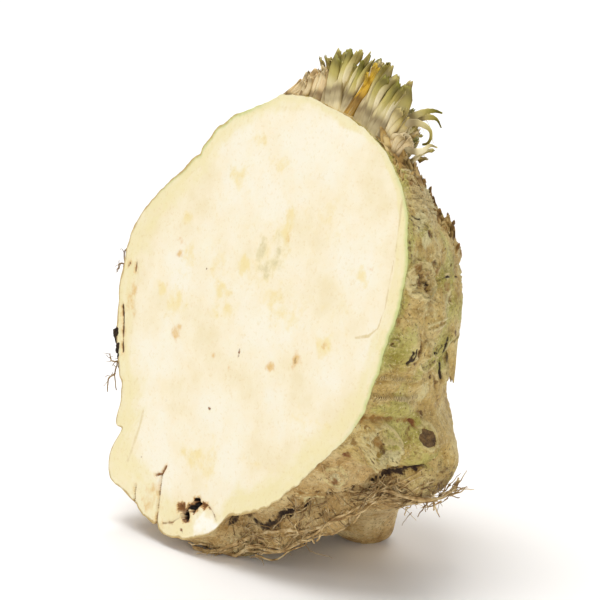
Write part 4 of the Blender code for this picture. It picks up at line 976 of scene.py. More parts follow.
def skin_material():
    """Celeriac skin, grown and brushed clean: matt, khaki and tan with corky specks, brown at its scars.

    The noises are scaled to blotches of 8 mm, cork of 1.6 mm and specks of 0.7 mm. Real specks are finer
    and wouldn't show. The ticks of a row are 0.72 mm apart.
    """
    material, tree, shader, place = new_material(SKIN)
    s = settings()
    broad, fine, speck = (
        add_node(tree, "TexNoise", {"Vector": place, "Scale": scale, "Detail": detail, "Roughness": rough})
        .outputs["Fac"]
        for scale, detail, rough in ((130.0, 5.0, 0.62), (620.0, 5.0, 0.68), (1500.0, 3.0, 0.6)))
    tan, green, straw, cork, shade = (
        add_node(tree, "ValToRGB", {"Fac": noise}, stops).outputs[0] for noise, stops in (
            (broad, ((0.30, "#AC873E"), (0.48, (*s.skin_tan, 1.0)), (0.66, "#EAD594"))),
            (broad, ((0.30, "#A89A3C"), (0.48, (*s.skin_green, 1.0)), (0.68, "#DCD282"))),
            (broad, ((0.30, "#A47A38"), (0.46, "#D4B070"), (0.62, "#EBD298"))),
            (fine, ((0.36, "#4E3517"), (0.62, "#8A6A3C"))),
            (fine, ((0.32, "#A07C44"), (0.50, "#FFFFFF"))),
        ))
    base = blend(tree, tan, (
        ("green", green, 1.0, 0.00, 1.00),
        ("shoulder", "#E0C88A", 1.8, 0.25, 0.75),
        ("root_end", straw, 1.6, 0.25, 0.75),
        ("edge", "#C6C774", 1.0, 0.20, 1.00),
        # Painted shade in the hollows of the relief and painted highlight on its raised parts
        ("low", "#A07A3E", 1.4, 0.30, 1.20),
        ("high", "#EBDCA6", 1.4, 0.30, 1.20),
    ), fine)
    base = lay(tree, base, speck, 0.60, 0.68, "#8A6632")
    base = lay(tree, base, speck, 0.40, 0.33, "#EADCA8")
    base = blend(tree, base, (
        ("tick", "#E8D698", 1.4, 0.40, 0.85),
        ("pale", "#EBDFA6", 1.6, 0.32, 1.20),
        ("ring", "#EBD898", 1.2, 0.30, 0.95),
        # Rust brown, also laid as painted shade in the shoulder's ridge valleys and beside the deep creases
        ("rust_and_shade", "#A0722E", 2.6, 0.30, 1.30),
        ("red", "#80491F", 1.8, 0.35, 1.20),
        ("scar", "#6E4C24", 2.4, 0.35, 1.15),
        ("cork", cork, 0.3, 0.40, 0.60),
    ), fine)
    base = add_node(tree, "MixRGB", {"Fac": 0.45, "Color1": base, "Color2": shade},
                    blend_type="MULTIPLY").outputs[0]
    row, along = (add_node(tree, "Attribute", {}, attribute_name=name).outputs["Fac"]
                  for name in ("row", "row_place"))
    turns = add_node(tree, "Math", {0: along, 1: ROW_UNIT * 2 * math.pi / 0.72}, operation="MULTIPLY")
    wave = add_node(tree, "Math", {0: turns.outputs[0]}, operation="SINE").outputs[0]
    wave = add_node(tree, "Math", {0: wave, 1: row}, operation="MULTIPLY").outputs[0]
    base = lay(tree, base, wave, 0.1, 0.7, "#E4D092")
    base = lay(tree, base, wave, -0.1, -0.7, "#8A6636")
    # Near black: dirt, and painted shadow in the deep creases and in the gap beside the loose flap
    base = blend(tree, base, (("dirt_and_shade", "#34200E", 1.4, 0.35, 0.90),), fine)
    relief = {}
    for height, strength, distance in ((speck, 0.8, 0.0005), (fine, 1.0, 0.0014), (wave, 0.5, 0.0003)):
        inputs = {"Height": height, "Strength": strength, "Distance": distance, **relief}
        relief = {"Normal": add_node(tree, "Bump", inputs).outputs[0]}
    plug(tree, shader, {"Base Color": base, "Roughness": 0.50, "IOR": 1.42, **relief})
    return material


def flesh_material():
    """Cut celeriac flesh: moist, cream, a little light passes into it; yellow towards the rind.

    The noises are scaled to clouds of 20 mm, mottling of 3 mm and grain of 0.9 mm.
    """
    material, tree, shader, place = new_material("moist cut root flesh")
    s = settings()
    clouds, mottle, grain = (
        add_node(tree, "TexNoise", {"Vector": place, "Scale": scale, "Detail": detail, "Roughness": rough})
        .outputs["Fac"]
        for scale, detail, rough in ((48.0, 5.0, 0.6), (300.0, 5.0, 0.65), (1100.0, 2.0, 0.5)))
    cream, fleck = (
        add_node(tree, "ValToRGB", {"Fac": noise}, stops).outputs[0] for noise, stops in (
            (clouds, ((0.34, "#F0E1BA"), (0.48, (*s.flesh_colour, 1.0)), (0.62, "#F7EFD9"))),
            (grain, ((0.30, "#F1E6C8"), (0.42, "#FFFFFF"))),
        ))
    base = blend(tree, cream, (
        ("rind", (*s.rind_colour, 1.0), 1.0, 0.00, 1.20),
        ("white", "#FDF8EA", 1.0, 0.10, 1.00),
        ("line", "#E2CF9E", 1.2, 0.30, 1.10),
        ("stain", "#F1DFA6", 1.9, 0.15, 1.10),
        ("grey", "#DBCFA6", 2.0, 0.30, 1.25),
        ("amber", "#E4BF7E", 2.0, 0.25, 1.20),
        ("green", "#CDD088", 0.5, 0.15, 1.10),
        ("outer", "#C3A56A", 1.2, 0.45, 1.00),
        ("brown", "#8C5C2C", 1.4, 0.42, 0.85),
        # Painted shade inside the cracks and holes of the cut face
        ("dark", "#1C120A", 0.8, 0.40, 0.70),
    ), mottle)
    base = add_node(tree, "MixRGB", {"Fac": 0.35, "Color1": base, "Color2": fleck}, blend_type="MULTIPLY")
    bump = add_node(tree, "Bump", {"Height": mottle, "Strength": 0.15, "Distance": 0.0004})
    plug(tree, shader, {
        "Base Color": base.outputs[0], "Normal": bump.outputs[0], "Roughness": 0.42, "IOR": 1.38,
        "Subsurface Weight": 0.10, "Subsurface Radius": (1.0, 0.7, 0.4), "Subsurface Scale": 0.002,
    })
    return material


def stalk_material(name, low, middle, high, tan, roughness=0.5):
    """Leaf base, fibrous: streaks run along it, pale at the foot and greener to the torn tip.

    In its UV map a unit is a millimetre, so a streak is about 0.7 mm wide and 12 mm long.
    """
    material, tree, shader, _ = new_material(name)
    along, green, dry, tone = (add_node(tree, "Attribute", {}, attribute_name=mask).outputs["Fac"]
                               for mask in ("along", "green", "tan", "tone"))
    uv = add_node(tree, "UVMap", {}, uv_map="along").outputs[0]
    stretch = add_node(tree, "Mapping", {"Vector": uv, "Scale": (1.5, 0.08, 1.0)}).outputs[0]
    streak = add_node(tree, "TexNoise", {"Vector": stretch, "Scale": 1.0, "Detail": 2.0, "Roughness": 0.6,
                                         "Distortion": 0.25}).outputs["Fac"]
    blot = add_node(tree, "TexNoise", {"Vector": uv, "Scale": 0.35, "Detail": 3.0}).outputs["Fac"]
    rise = add_node(tree, "Math", {0: along, 1: green}, operation="MULTIPLY").outputs[0]
    wander = add_node(tree, "Math", {0: blot, 1: 0.9, 2: -0.42}, operation="MULTIPLY_ADD").outputs[0]
    rise = add_node(tree, "Math", {0: rise, 1: wander}, operation="ADD", use_clamp=True).outputs[0]
    # tint follows the tone mask: random tone, and on the leaf sheaths painted shade towards each base's
    # edges
    base, lines, tint = (
        add_node(tree, "ValToRGB", {"Fac": value}, stops).outputs[0] for value, stops in (
            (rise, ((0.22, low), (0.50, middle), (0.85, high))),
            (streak, ((0.36, "#8C7C5C"), (0.46, "#DED6BE"), (0.55, "#FFFFFF"))),
            (tone, ((0.0, "#6E5C3A"), (0.42, "#E2D8BA"), (0.80, "#FFFFFF"))),
        ))
    for share, colour, mode in ((dry, tan, "MIX"), (0.9, lines, "MULTIPLY"), (1.0, tint, "MULTIPLY")):
        base = add_node(tree, "MixRGB", {"Fac": share, "Color1": base, "Color2": colour},
                        blend_type=mode).outputs[0]
    bump = add_node(tree, "Bump", {"Height": streak, "Strength": 0.6, "Distance": 0.0004}).outputs[0]
    plug(tree, shader, {"Base Color": base, "Normal": bump, "Roughness": roughness, "IOR": 1.42})
    return material


def root_material():
    """Dried root fibre: straw, paler where it is rubbed, dark where soil clings, in blotches of 2.4 mm."""
    material, tree, shader, place = new_material("dried root fibre")
    noise = add_node(tree, "TexNoise", {"Vector": place, "Scale": 420.0, "Detail": 3.0}).outputs["Fac"]
    tone = add_node(tree, "Attribute", {}, attribute_name="tone").outputs["Fac"]
    straw, dark = (
        add_node(tree, "ValToRGB", {"Fac": value}, stops).outputs[0] for value, stops in (
            (noise, ((0.32, "#8A683A"), (0.50, "#C2A36C"), (0.66, "#E2CC9C"))),
            (tone, ((0.0, "#6E5230"), (0.8, "#FFFFFF"))),
        ))
    base = add_node(tree, "MixRGB", {"Fac": 1.0, "Color1": straw, "Color2": dark}, blend_type="MULTIPLY")
    plug(tree, shader, {"Base Color": base.outputs[0], "Roughness": 0.75})
    return material


def soil_material():
    """Damp garden soil: nearly black, with brown crumbs of 1.4 mm."""
    material, tree, shader, place = new_material("damp crumbed soil")
    noise = add_node(tree, "TexNoise", {"Vector": place, "Scale": 700.0, "Detail": 5.0}).outputs["Fac"]
    base = add_node(tree, "ValToRGB", {"Fac": noise}, ((0.40, "#120B06"), (0.62, "#3A2815"))).outputs[0]
    bump = add_node(tree, "Bump", {"Height": noise, "Strength": 1.0, "Distance": 0.0008}).outputs[0]
    plug(tree, shader, {"Base Color": base, "Normal": bump, "Roughness": 0.95})
    return material


class CeleriacSettings(bpy.types.PropertyGroup):
    """Sizes and colours that a user may change before the pieces are made."""

    skin_tan: FloatVectorProperty(
        name="Skin tan", description="Tan of the skin", subtype="COLOR", size=3,
        default=linear("#D8B96E")[:3])
    skin_green: FloatVectorProperty(
        name="Skin green", description="Yellow-green of the skin", subtype="COLOR", size=3,
        default=linear("#CBBF68")[:3])
    flesh_colour: FloatVectorProperty(
        name="Flesh", description="Cream of the cut flesh", subtype="COLOR", size=3,
        default=linear("#F6EACC")[:3])
    rind_colour: FloatVectorProperty(
        name="Rind", description="Yellow of the flesh under the skin", subtype="COLOR", size=3,
        default=linear("#EFE2B0")[:3])
    rind_width: FloatProperty(
        name="Rind width", description="Width of the yellow zone under the skin", default=RIND_DEFAULT,
        min=0.001, max=0.02, unit="LENGTH")
    stalk_length: FloatProperty(
        name="Stalk length", description="Length of the leaf bases behind the cut", default=STALK_DEFAULT,
        min=0.005, max=0.025, unit="LENGTH")
    rootlet_count: IntProperty(
        name="Rootlets", description="Fine rootlets in each bunch", default=60, min=0, max=200)


class MESH_OT_celeriac_skin(bpy.types.Operator):
    """Grown outer skin: a band round the sides and a cap over the far back"""

    bl_idname = "mesh.celeriac_skin"
    bl_label = "Skin"

    def execute(self, context):
        material = skin_material()
        self.sides(material)
        self.back(material)
        return {"FINISHED"}

    def sides(self, material):
        """The band, closed by two rings inside the flesh: one behind its far edge, one behind the cut."""
        theta, phi = np.meshgrid(theta_columns(), np.linspace(0, SIDE_END, 94))
        rows, columns = theta.shape
        r, masks = skin_surface(theta, phi)
        points = direction(theta, phi) * (r - TUCK * step(SIDE_END - 1.2, SIDE_END, phi))[..., None]
        inner = np.stack([points[-1] * 0.86, points[0] * 0.88 + np.array([0, 9.0, 0])])
        masks = {k: np.concatenate([v, v[-1:], v[:1]]) for k, v in masks.items()}
        points = self.on_floor(np.concatenate([points, inner]))
        ring = np.arange(columns)
        faces = [np.concatenate([quads(rows + 2, columns), strip(ring + (rows + 1) * columns, ring)])]
        make_piece("skin_sides", points, faces, material, masks, replaces=("bulb_half",))

    def back(self, material):
        """The cap, with a point at its pole, closed by a ring and a point inside the flesh."""
        theta, phi = np.meshgrid(np.arange(560) * 360 / 560, np.linspace(BACK_START, 90, 64)[:-1])
        rows, columns = theta.shape
        r, masks = skin_surface(theta, phi)
        points = direction(theta, phi) * (r - TUCK * step(BACK_START + 1.6, BACK_START, phi))[..., None]
        pole, inner = points[-1].mean(0) * np.array([0, 1, 0]), points[0] * 0.86
        masks = {k: np.concatenate([v.reshape(-1), v[0], [v[-1].mean(), 0]]) for k, v in masks.items()}
        points = self.on_floor(np.concatenate([points.reshape(-1, 3), inner, [pole, [0, 28, 0]]]))
        n = rows * columns
        ring, last, inside = np.arange(columns), np.arange(n - columns, n), np.arange(n, n + columns)
        faces = [np.concatenate([quads(rows, columns), strip(ring, inside)[:, ::-1]]),
                 np.concatenate([fan(last, n + columns), fan(inside, n + columns + 1)[:, ::-1]])]
        make_piece("skin_back", points, faces, material, masks, replaces=("bulb_half",))

    @staticmethod
    def on_floor(points):
        """Points in the part's frame, with what would pass below the floor flattened on it."""
        points = to_world(points)
        points[..., 2] = np.maximum(points[..., 2], 0)
        return points


class MESH_OT_celeriac_face(bpy.types.Operator):
    """Cut face, with its rind, stains, cracks and hollow"""

    bl_idname = "mesh.celeriac_face"
    bl_label = "Cut Face"

    def execute(self, context):
        rho = 1 - (1 - np.linspace(0, 1, 97)[1:]) ** 1.35
        theta, rho = np.meshgrid(theta_columns(), rho)
        rows, columns = theta.shape
        rim = periodic(theta, RIM) + rim_change(theta, 0 * theta)
        flat = direction(theta, 0 * theta) * (rho * rim)[..., None]
        inward = (1 - rho) * rim
        masks, wander, ragged = face_masks(flat, theta, rim, inward)
        depth = face_depth(flat, masks, wander, ragged)
        points = flat + np.array([0.0, 1.0, 0.0]) * (depth * step(0, 0.5, inward))[..., None]
        inner = flat[-1] * 0.88 + np.array([0, 7.0, 0])
        points = to_world(np.concatenate([points.reshape(-1, 3), inner, [[0, 0, 0], [0, 12, 0]]]))
        n = rows * columns
        first, ring, inside = np.arange(columns), np.arange(n - columns, n), np.arange(n, n + columns)
        faces = [np.concatenate([quads(rows, columns), strip(ring, inside)]),
                 np.concatenate([fan(first, n + columns)[:, ::-1], fan(inside, n + columns + 1)])]
        masks = {k: np.concatenate([v.reshape(-1), v[-1], [v[0].mean(), 0]]) for k, v in masks.items()}
        make_piece("cut_face", points, faces, flesh_material(), masks)
        return {"FINISHED"}


class MESH_OT_celeriac_stalks(bpy.types.Operator):
    """Crown of trimmed leaf stalks and the strips torn from them"""

    bl_idname = "mesh.celeriac_stalks"
    bl_label = "Leaf Stalks"

    def execute(self, context):
        draw = random.Random(SEED)
        bundle = Bundle()
        self.front_row(bundle, draw)
        self.rows_behind(bundle, draw)
        self.strips(bundle, draw)
        material = stalk_material("fibrous trimmed leaf base", "#FAF0CE", "#CABD70", "#8E8C30", "#EACB98")
        bundle.piece("leaf_sheaths", material, "stalk", replaces=("leaf_stalks",))
        return {"FINISHED"}

    def front_row(self, bundle, draw):
        """Each stalk of the table as six or eight leaf bases, the broad ones with a wide one first."""
        axis = direction(CROWN_THETA, 0.0)
        for k, (foot, tip, width, green, tan) in enumerate(FRONT_STALKS):
            foot, tip = np.array(foot, float), np.array(tip, float)
            out = (unit(foot) - axis) * 0.8 + np.array([0.18, -0.5, 0])
            lean = np.array([5.5, 0.0, -0.6]) * max(0.0, 1 - k / 4)
            slip = np.cross(unit(tip - foot), np.array([0.0, 1.0, 0.0]))
            left = k < 5
            for j in range(8 if left else 6):
                first = j == 0 and k in BROAD_STALKS
                wide = width * (1.05 if first else draw.uniform(0.28, 0.52))
                shift = slip * (0.0 if first else draw.uniform(-0.5, 0.5) * width)
                deep = np.array([0.0, draw.uniform(-1.8, 1.0) + 1.2 * first, 0.0])
                share = 1.0 if first else draw.uniform(0.84, 1.0) if j > 1 else 0.97
                end = foot + (tip + lean * share - foot) * share
                start = foot + shift + deep * 0.4 - unit(end - foot) * STALK_SINK
                rings, along, uv = sheath(
                    start, end + shift + deep, out, wide, 1.5 if first else 1.2, draw,
                    cup=draw.uniform(0.8, 1.4), bend=draw.uniform(-0.6, 0.9),
                    slant=draw.uniform(-0.08, 0.08), taper=-0.15 if left else draw.uniform(0.0, 0.3),
                    rag=0.03 if first else draw.uniform(0.02, 0.08), curl=draw.uniform(-2.2, 2.6),
                    wave=0.3 if first or left else draw.uniform(0.3, 0.9),
                    ribs=4 if first else 2, rows=24)
                masks = {"along": along, "green": green * draw.uniform(0.6, 1.1),
                         "tan": min(1.0, tan * draw.uniform(0.3, 1.0))}
                tone = 1.0 if first else draw.uniform(0.85 if left else 0.65, 1.1)
                # Random tone, with painted shade towards the edges of the base
                masks["tone"] = self.shade(uv, wide, tone)
                bundle.loft(rings, masks, uv + draw.uniform(0, 90))

    def rows_behind(self, bundle, draw):
        """Stalks on a sunflower spiral, three leaf bases each, shorter at both ends of the crown."""
        axis = direction(CROWN_THETA, 0.0)
        for k in range(1, STALK_COUNT):
            reach = STALK_SPACING * math.sqrt(k)
            turn = math.radians(k * GOLDEN_ANGLE)
            theta = CROWN_THETA - math.degrees(reach * math.cos(turn) / MEAN_RADIUS)
            phi = math.degrees(reach * math.sin(turn) / MEAN_RADIUS)
            if phi < STALK_FIRST_PHI or reach > CROWN_RADIUS - 1.5 or theta < STALK_LAST_THETA:
                continue
            out = unit(direction(theta, phi) - axis)
            spread = np.array([STALK_FAN_SIDE, STALK_FAN_BACK, STALK_FAN_SIDE])
            fan_out = out * spread * reach / CROWN_RADIUS
            from_left = min(max((CROWN_THETA + 23 - theta) / 17.0, 0.22), 1.0)
            from_right = min(1.0, 0.5 + (theta - 55) / 28)
            for _ in range(3):
                base = skin_place(theta + draw.uniform(-1.8, 1.8), max(phi + draw.uniform(-1.8, 1.8), 2.0))
                aside = np.array([draw.uniform(-0.09, 0.09), draw.uniform(-0.08, 0.08), 0])
                along = unit(np.array(STALK_WAY) + fan_out + aside)
                length = settings().stalk_length / MM * from_left * from_right * draw.uniform(0.6, 1.0)
                wide = draw.uniform(1.8, 4.6)
                rings, v, uv = sheath(
                    base - along * STALK_SINK, base + along * length, out, wide, 1.2, draw,
                    cup=draw.uniform(0.6, 1.2), bend=draw.uniform(-0.6, 1.6), slant=draw.uniform(-0.1, 0.1),
                    rag=draw.uniform(0.02, 0.12), curl=draw.uniform(-1.2, 1.8), wave=draw.uniform(0.1, 0.5),
                    ribs=2, rows=16, columns=14)
                # tone: random, with painted shade towards the edges of the base
                masks = {"along": v, "green": draw.uniform(0.3, 1.0),
                         "tan": max(0.0, draw.uniform(-0.8, 0.6)),
                         "tone": self.shade(uv, wide, draw.uniform(0.5, 1.1))}
                bundle.loft(rings, masks, uv + draw.uniform(0, 90))

    @staticmethod
    def strips(bundle, draw):
        """Curled strips along their routes, widest in the middle, each with four loose threads."""
        place, thread = np.linspace(0, 1, 40), np.linspace(0, 1, 9)[:, None]
        for i, (thick, share, green, thread_green, route) in enumerate(STRIPS):
            path = smooth_path(route, 40)
            half = thick * share * (0.5 + 0.7 * np.sin(math.pi * place**0.8)) * (1 - 0.5 * place)
            rings = tube(path, half * (1 + 0.06 * np.sin(60 * place)), 14, 0.30, normal=(0.15, 1.0, 0.35))
            v = place[:, None] + np.zeros((1, 14))
            across = thick * np.sin(np.linspace(0, 2 * math.pi, 14))[None, :]
            uv = np.stack([across + 0 * v, v * 24], -1) + 13.0 * i
            bundle.loft(rings, {"along": v, "green": green, "tan": 0.0, "tone": 0.85}, uv)
            for _ in range(4):
                start = path[draw.randrange(8, 30)]
                aside = np.array([draw.uniform(-3, 3), draw.uniform(-1, 2), draw.uniform(-4, 1)])
                hair = start + unit(path[36] - path[18] + aside) * thread * draw.uniform(1.2, 3.2)
                hair = hair + np.array([0.0, 0.0, -0.9]) * thread**2
                v = thread + np.zeros((1, 6))
                masks = {"along": v, "green": thread_green, "tan": 0.0, "tone": 1.0}
                rings = tube(hair, 0.15 * np.linspace(1, 0.3, 9), 6, 0.5)
                bundle.loft(rings, masks, np.stack([v * 0, v], -1))

    @staticmethod
    def shade(uv, width, tone):
        """Brightness of one leaf base: tone times a painted shade towards its edges, by the fourth power of
        u.
        """
        return tone * (1 - 0.5 * np.abs(uv[..., 0] * 2 / width) ** 4)


class MESH_OT_celeriac_yellow(bpy.types.Operator):
    """The one withered yellow stalk"""

    bl_idname = "mesh.celeriac_yellow"
    bl_label = "Yellow Stalk"

    def execute(self, context):
        draw = random.Random(SEED + 3)
        foot, tip, width, thick = YELLOW_STALK
        foot, tip = np.array(foot), np.array(tip)
        bundle = Bundle()
        for shift, wide, share in ((0.0, width, 1.0), (1.1, 1.9, 0.96), (-0.9, 1.6, 0.8)):
            step_aside = np.array([shift, -0.2 * abs(shift), -0.4 * shift])
            start, end = foot - (tip - foot) * 0.12 + step_aside, foot + (tip - foot) * share + step_aside
            rings, v, uv = sheath(start, end, np.array([0.2, -1.0, 0.0]), wide, thick, draw, cup=0.9,
                                  bend=0.2, rag=0.04, curl=1.2, wave=0.45, rows=26)
            tone = 1.0 - 0.75 * bell(v - 0.70, 0.05) - 0.4 * bell(v - 0.42, 0.08)
            bundle.loft(rings, {"along": v, "green": 0.9, "tan": 0.0, "tone": tone}, uv)
        material = stalk_material("withered yellow leaf base", "#D6AE58", "#E4B934", "#F2D04A", "#B88A40")
        bundle.piece("yellow_sheath", material, "yellow_stalk", replaces=("yellow_stalk",))
        return {"FINISHED"}


class MESH_OT_celeriac_scales(bpy.types.Operator):
    """Dry brown slivers of leaf base on the shoulder, and the loose flap of skin"""

    bl_idname = "mesh.celeriac_scales"
    bl_label = "Shoulder Scales"

    def execute(self, context):
        draw = random.Random(SEED + 1)
        self.scales(draw)
        self.flap(draw)
        return {"FINISHED"}

    @staticmethod
    def scales(draw):
        """Small leaf bases at random along the line, pointing to the crown, each third one steeper."""
        axis = direction(CROWN_THETA, 0.0)
        bundle = Bundle()
        for i in range(SCALE_COUNT):
            high = i % 3 == 0
            place = draw.random() * (3 if high else len(SCALE_LINE) - 1)
            k = min(int(place), len(SCALE_LINE) - 2)
            a, b = SCALE_LINE[k], SCALE_LINE[k + 1]
            theta = a[0] + (b[0] - a[0]) * (place - k) + draw.uniform(-6, 4) + 4.0 * high
            phi = a[1] + (b[1] - a[1]) * (place - k) + draw.uniform(-8 if high else -12, 10 if high else 6)
            phi = max(1.0, phi)
            normal = direction(theta, phi)
            to_crown = unit(axis - normal * (normal @ axis))
            along = to_crown + normal * draw.uniform(-0.02, 0.55 if high else 0.22)
            along = along + np.cross(normal, to_crown) * draw.uniform(-0.35, 0.35)
            foot = skin_place(theta, phi, -0.5)
            tip = foot + unit(along) * draw.uniform(3.5, 9.5)
            rings, v, uv = sheath(
                foot, tip, normal, draw.uniform(1.2, 3.8), 0.7, draw, cup=draw.uniform(0.3, 0.9),
                bend=draw.uniform(-0.4, 0.8), slant=draw.uniform(-0.2, 0.2), rag=draw.uniform(0.05, 0.2),
                curl=draw.uniform(-0.8, 1.2), wave=0.3, ribs=2, rows=14, columns=14)
            masks = {"along": v, "green": draw.uniform(0.0, 1.0) * step(2.0, 22.0, phi),
                     "tan": max(0.0, draw.uniform(-0.8, 0.9)), "tone": draw.uniform(0.2, 1.0)}
            bundle.loft(rings, masks, uv + draw.uniform(0, 90))
        material = stalk_material("dry papery leaf base", "#D8C088", "#A88046", "#6A4A22", "#C4A064", 0.75)
        bundle.piece("shoulder_scales", material, "skin")

    @staticmethod
    def flap(draw):
        """The loose flap of skin, one broad thin leaf of it with a paler edge."""
        foot, tip, facing, width = FLAP
        rings, v, uv = sheath(skin_place(*foot), skin_place(*tip), direction(*facing), width, 1.4, draw,
                              cup=0.5, bend=0.4, taper=0.55, rag=0.0, wave=0.1, rows=40, columns=40)
        bundle = Bundle()
        edge = np.abs(uv[..., 0] * 2 / width) ** 6
        bundle.loft(rings, {"ring": 0.6 * edge, "rust_and_shade": 0.5 * step(0.85, 1.0, v)})
        bundle.piece("loose_flap", bpy.data.materials.get(SKIN) or skin_material(), "skin")


class MESH_OT_celeriac_fibres(bpy.types.Operator):
    """Straw-coloured root fibres under the root and the rootlets on its left edge"""

    bl_idname = "mesh.celeriac_fibres"
    bl_label = "Root Fibres"

    def execute(self, context):
        material = root_material()
        for index, (name, thick, spine) in enumerate(FIBRES):
            draw = np.random.default_rng(SEED + 20 + index)
            bundle = Bundle()
            middle, low = self.main_fibres(bundle, draw, name, thick, spine)
            self.fine_fibres(bundle, draw, name, middle, low)
            bundle.piece(name + "_fine", material, "root", replaces=(name,))
        for index, (name, thick, branches) in enumerate(ROOTLETS):
            draw = np.random.default_rng(SEED + 30 + index)
            bundle = Bundle()
            for points in branches:
                self.rootlet(bundle, draw, thick, points)
            bundle.piece(name + "_fine", material, "root", replaces=(name,))
        return {"FINISHED"}

    @staticmethod
    def main_fibres(bundle, draw, name, thick, spine):
        """Seven fibres along a bunch's route, each swayed by soft noise, and the front's bright strands.

        Gives the middle of the bunch and, for the front one, a line a little below it.
        """
        right = name == "root_fibres_right"
        angles = smooth_path(spine, 44)
        lift = direction(angles[:, 0], angles[:, 1]) * angles[:, 2:3]
        middle = skin_place(angles[:, 0], angles[:, 1]) + lift
        for strand in range(7):
            spread = (0.5 + 0.55 * strand) * (0.35 if right else 1.0)
            sway = cloud_path(middle + 9 * strand, 9.0, 40) * spread
            first, last = (0, 44) if strand < 2 else sorted(draw.choice(44, 2, replace=False))
            if last - first < 14:
                first, last = max(0, first - 8), min(44, last + 8)
            last = min(last, 29) if right else last
            first = max(0, min(first, last - 12))
            path = lift_over((middle + sway)[first:last], 0.45)
            half = thick / 2 * (0.72 if strand == 0 else draw.uniform(0.28, 0.52))
            rings = tube(path, half * np.linspace(1.0, 0.55, last - first), 8)
            bundle.loft(rings, {"tone": draw.uniform(0.6, 1.0)})
        if name != "root_fibres_front":
            return middle, middle
        for route, width in STRANDS:
            path = lift_over(smooth_path([skin_place(*at) for at in route], 60), 0.3)
            path = path + cloud_path(path, 5.0, 70) * 0.35
            bundle.loft(tube(path, width * np.linspace(1.0, 0.4, 60), 8, 0.6), {"tone": 1.0})
        return middle, skin_place(angles[:, 0], angles[:, 1] - 2.4) + lift

    @staticmethod
    def fine_fibres(bundle, draw, name, middle, low):
        """Short fibres from random places of a bunch, each a random walk, one in eight hanging loose."""
        right = name == "root_fibres_right"
        count = 14
        for _ in range(settings().rootlet_count * 2):
            place = int(draw.integers(0, 24 if right else 43))
            start = low[place] + draw.normal(0, 1.6 if right else 2.4, 3)
            normal = unit(start)
            ahead = unit(middle[place + 1] - middle[place])
            way = ahead * draw.normal(0, 0.9) + np.cross(ahead, normal) * draw.normal(0, 0.8)
            way = way + normal * draw.uniform(-0.3, 0.12)
            length = draw.uniform(3, 8 if right else 15)
            turns = np.cumsum(draw.normal(0, 0.22, (count, 3)), 0)
            route = start + np.cumsum(unit(unit(way) + turns) * length / count, 0)
            loose = draw.uniform() < 0.12
            route = route - np.array([0, 0.1, 0.9]) * (np.linspace(0, 1, count)[:, None] ** 2 * 4.0 * loose)
            route = lift_over(route, 0.2)
            route[:, 1] = np.maximum(route[:, 1], 1.2)
            radius = draw.uniform(0.11, 0.34) * np.linspace(1.0, 0.45, count)
            bundle.loft(tube(route, radius, 5), {"tone": draw.uniform(0.25, 1.0)})

    @staticmethod
    def rootlet(bundle, draw, thick, points):
        """One branch of a rootlet, with five hairs that walk away from it."""
        path = smooth_path(points, 16)
        path = path + cloud_path(path, 1.6, 50) * 0.25
        bundle.loft(tube(path, thick / 2 * np.linspace(0.6, 0.3, 16), 6), {"tone": 0.35})
        for _ in range(5):
            start = path[draw.integers(2, 15)]
            way = unit(np.array([-1.0, 0.2, draw.uniform(-1, 1)]))
            route = start + np.cumsum(unit(way + np.cumsum(draw.normal(0, 0.4, (7, 3)), 0)) * 0.35, 0)
            bundle.loft(tube(route, 0.13 * np.linspace(1, 0.5, 7), 4), {"tone": 0.3})


class MESH_OT_celeriac_soil(bpy.types.Operator):
    """Clump of damp soil on the left edge"""

    bl_idname = "mesh.celeriac_soil"
    bl_label = "Soil"

    def execute(self, context):
        bundle = Bundle()
        for index, (theta, phi, lift, size) in enumerate(SOIL):
            rows, columns = (60, 90) if index == 0 else (36, 54)
            polar, turn = np.meshgrid(np.linspace(0, math.pi, rows + 2)[1:-1],
                                      np.arange(columns) * 2 * math.pi / columns, indexing="ij")
            d = np.stack([np.sin(polar) * np.cos(turn), np.sin(polar) * np.sin(turn), np.cos(polar)], -1)
            body = d * np.array(size)
            rough = 1 + 0.20 * cloud(body, 2.2, 3, 61 + index) + 0.12 * cloud(body, 0.7, 2, 71 + index)
            bundle.loft(skin_place(theta, phi, lift) + body * rough[..., None], {"tone": 1.0})
        bundle.piece("soil_crumb", soil_material(), "soil", replaces=("soil_clump",))
        return {"FINISHED"}


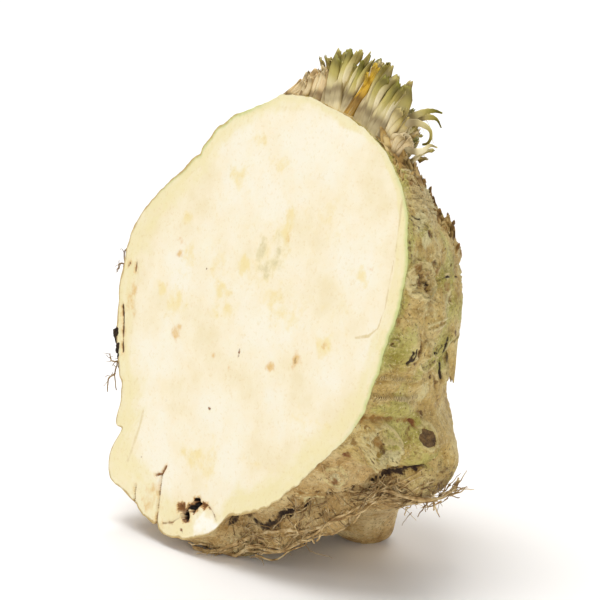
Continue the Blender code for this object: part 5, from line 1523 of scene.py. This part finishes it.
class SCENE_OT_celeriac_stage(bpy.types.Operator):
    """Pale floor, soft studio light and the camera"""

    bl_idname = "scene.celeriac_stage"
    bl_label = "Stage"

    def execute(self, context):
        scene = context.scene
        scene.view_settings.view_transform = "Standard"
        self.floor(scene)
        self.lights(scene)
        self.camera(scene)
        return {"FINISHED"}

    @staticmethod
    def floor(scene):
        """A square table top under the part."""
        mesh = bpy.data.meshes.new("floor")
        corners = [(x * FLOOR, y * FLOOR, 0.0) for x, y in ((-1, -1), (1, -1), (1, 1), (-1, 1))]
        mesh.from_pydata(corners, [], [(0, 1, 2, 3)])
        floor = bpy.data.objects.new("floor", mesh)
        scene.collection.objects.link(floor)
        material, tree, shader, _ = new_material("matt white table")
        plug(tree, shader, {"Base Color": "#F4F2F0", "Roughness": 0.8})
        mesh.materials.append(material)

    @staticmethod
    def lights(scene):
        """White light from all round, and the softboxes, each turned to its aim."""
        world = bpy.data.worlds.new("studio")
        world.use_nodes = True
        plug(world.node_tree, world.node_tree.nodes["Background"], {"Color": "#FFFFFF", "Strength": SKY})
        scene.world = world
        for name, place, size, power, aim in SOFTBOXES:
            light = bpy.data.lights.new(name, "AREA")
            light.size = size
            light.energy = power
            lamp = bpy.data.objects.new(name, light)
            scene.collection.objects.link(lamp)
            lamp.location = place
            way = np.array(aim) - np.array(place)
            yaw, pitch = math.atan2(way[0], -way[1]), math.acos(-way[2] / np.linalg.norm(way))
            lamp.rotation_euler = (pitch, 0.0, yaw + math.pi)

    @staticmethod
    def camera(scene):
        """The camera, on a line from its aim at the given azimuth and elevation."""
        azimuth, elevation = math.radians(AZIMUTH), math.radians(ELEVATION)
        right = np.array([math.cos(azimuth), math.sin(azimuth), 0.0])
        level = np.array([math.sin(azimuth), -math.cos(azimuth), 0.0]) * math.cos(elevation)
        toward = level + np.array([0.0, 0.0, math.sin(elevation)])
        up = np.cross(toward, right)
        target = ORIGIN + (right * AIM[0] + up * AIM[1]) * MM
        camera = bpy.data.objects.new("camera", bpy.data.cameras.new("camera"))
        scene.collection.objects.link(camera)
        camera.data.lens = LENS
        camera.data.sensor_width = SENSOR
        camera.data.clip_start = 0.01
        camera.location = target + toward * DISTANCE
        camera.rotation_euler = (math.pi / 2 - elevation, 0.0, azimuth)
        scene.camera = camera


class VIEW3D_PT_celeriac(bpy.types.Panel):
    """Lists the pieces of the celeriac"""

    bl_label = "Half Celeriac"
    bl_space_type = "VIEW_3D"
    bl_region_type = "UI"
    bl_category = "Celeriac"

    def draw(self, context):
        for name in CeleriacSettings.__annotations__:
            self.layout.prop(context.scene.celeriac, name)
        for operator in OPERATORS:
            self.layout.operator(operator.bl_idname)


OPERATORS = (
    MESH_OT_celeriac_skin, MESH_OT_celeriac_face, MESH_OT_celeriac_stalks, MESH_OT_celeriac_yellow,
    MESH_OT_celeriac_scales, MESH_OT_celeriac_fibres, MESH_OT_celeriac_soil, SCENE_OT_celeriac_stage,
)
CLASSES = (CeleriacSettings, *OPERATORS, VIEW3D_PT_celeriac)


def register():
    """Adds the add-on's classes and its settings."""
    for cls in CLASSES:
        bpy.utils.register_class(cls)
    bpy.types.Scene.celeriac = PointerProperty(type=CeleriacSettings)


def unregister():
    """Takes the add-on's settings and classes away."""
    del bpy.types.Scene.celeriac
    for cls in reversed(CLASSES):
        bpy.utils.unregister_class(cls)


def main():
    """Makes every piece and the stage."""
    register()
    bpy.ops.mesh.celeriac_skin()
    bpy.ops.mesh.celeriac_face()
    bpy.ops.mesh.celeriac_stalks()
    bpy.ops.mesh.celeriac_yellow()
    bpy.ops.mesh.celeriac_scales()
    bpy.ops.mesh.celeriac_fibres()
    bpy.ops.mesh.celeriac_soil()
    bpy.ops.scene.celeriac_stage()


if __name__ == "__main__":
    main()
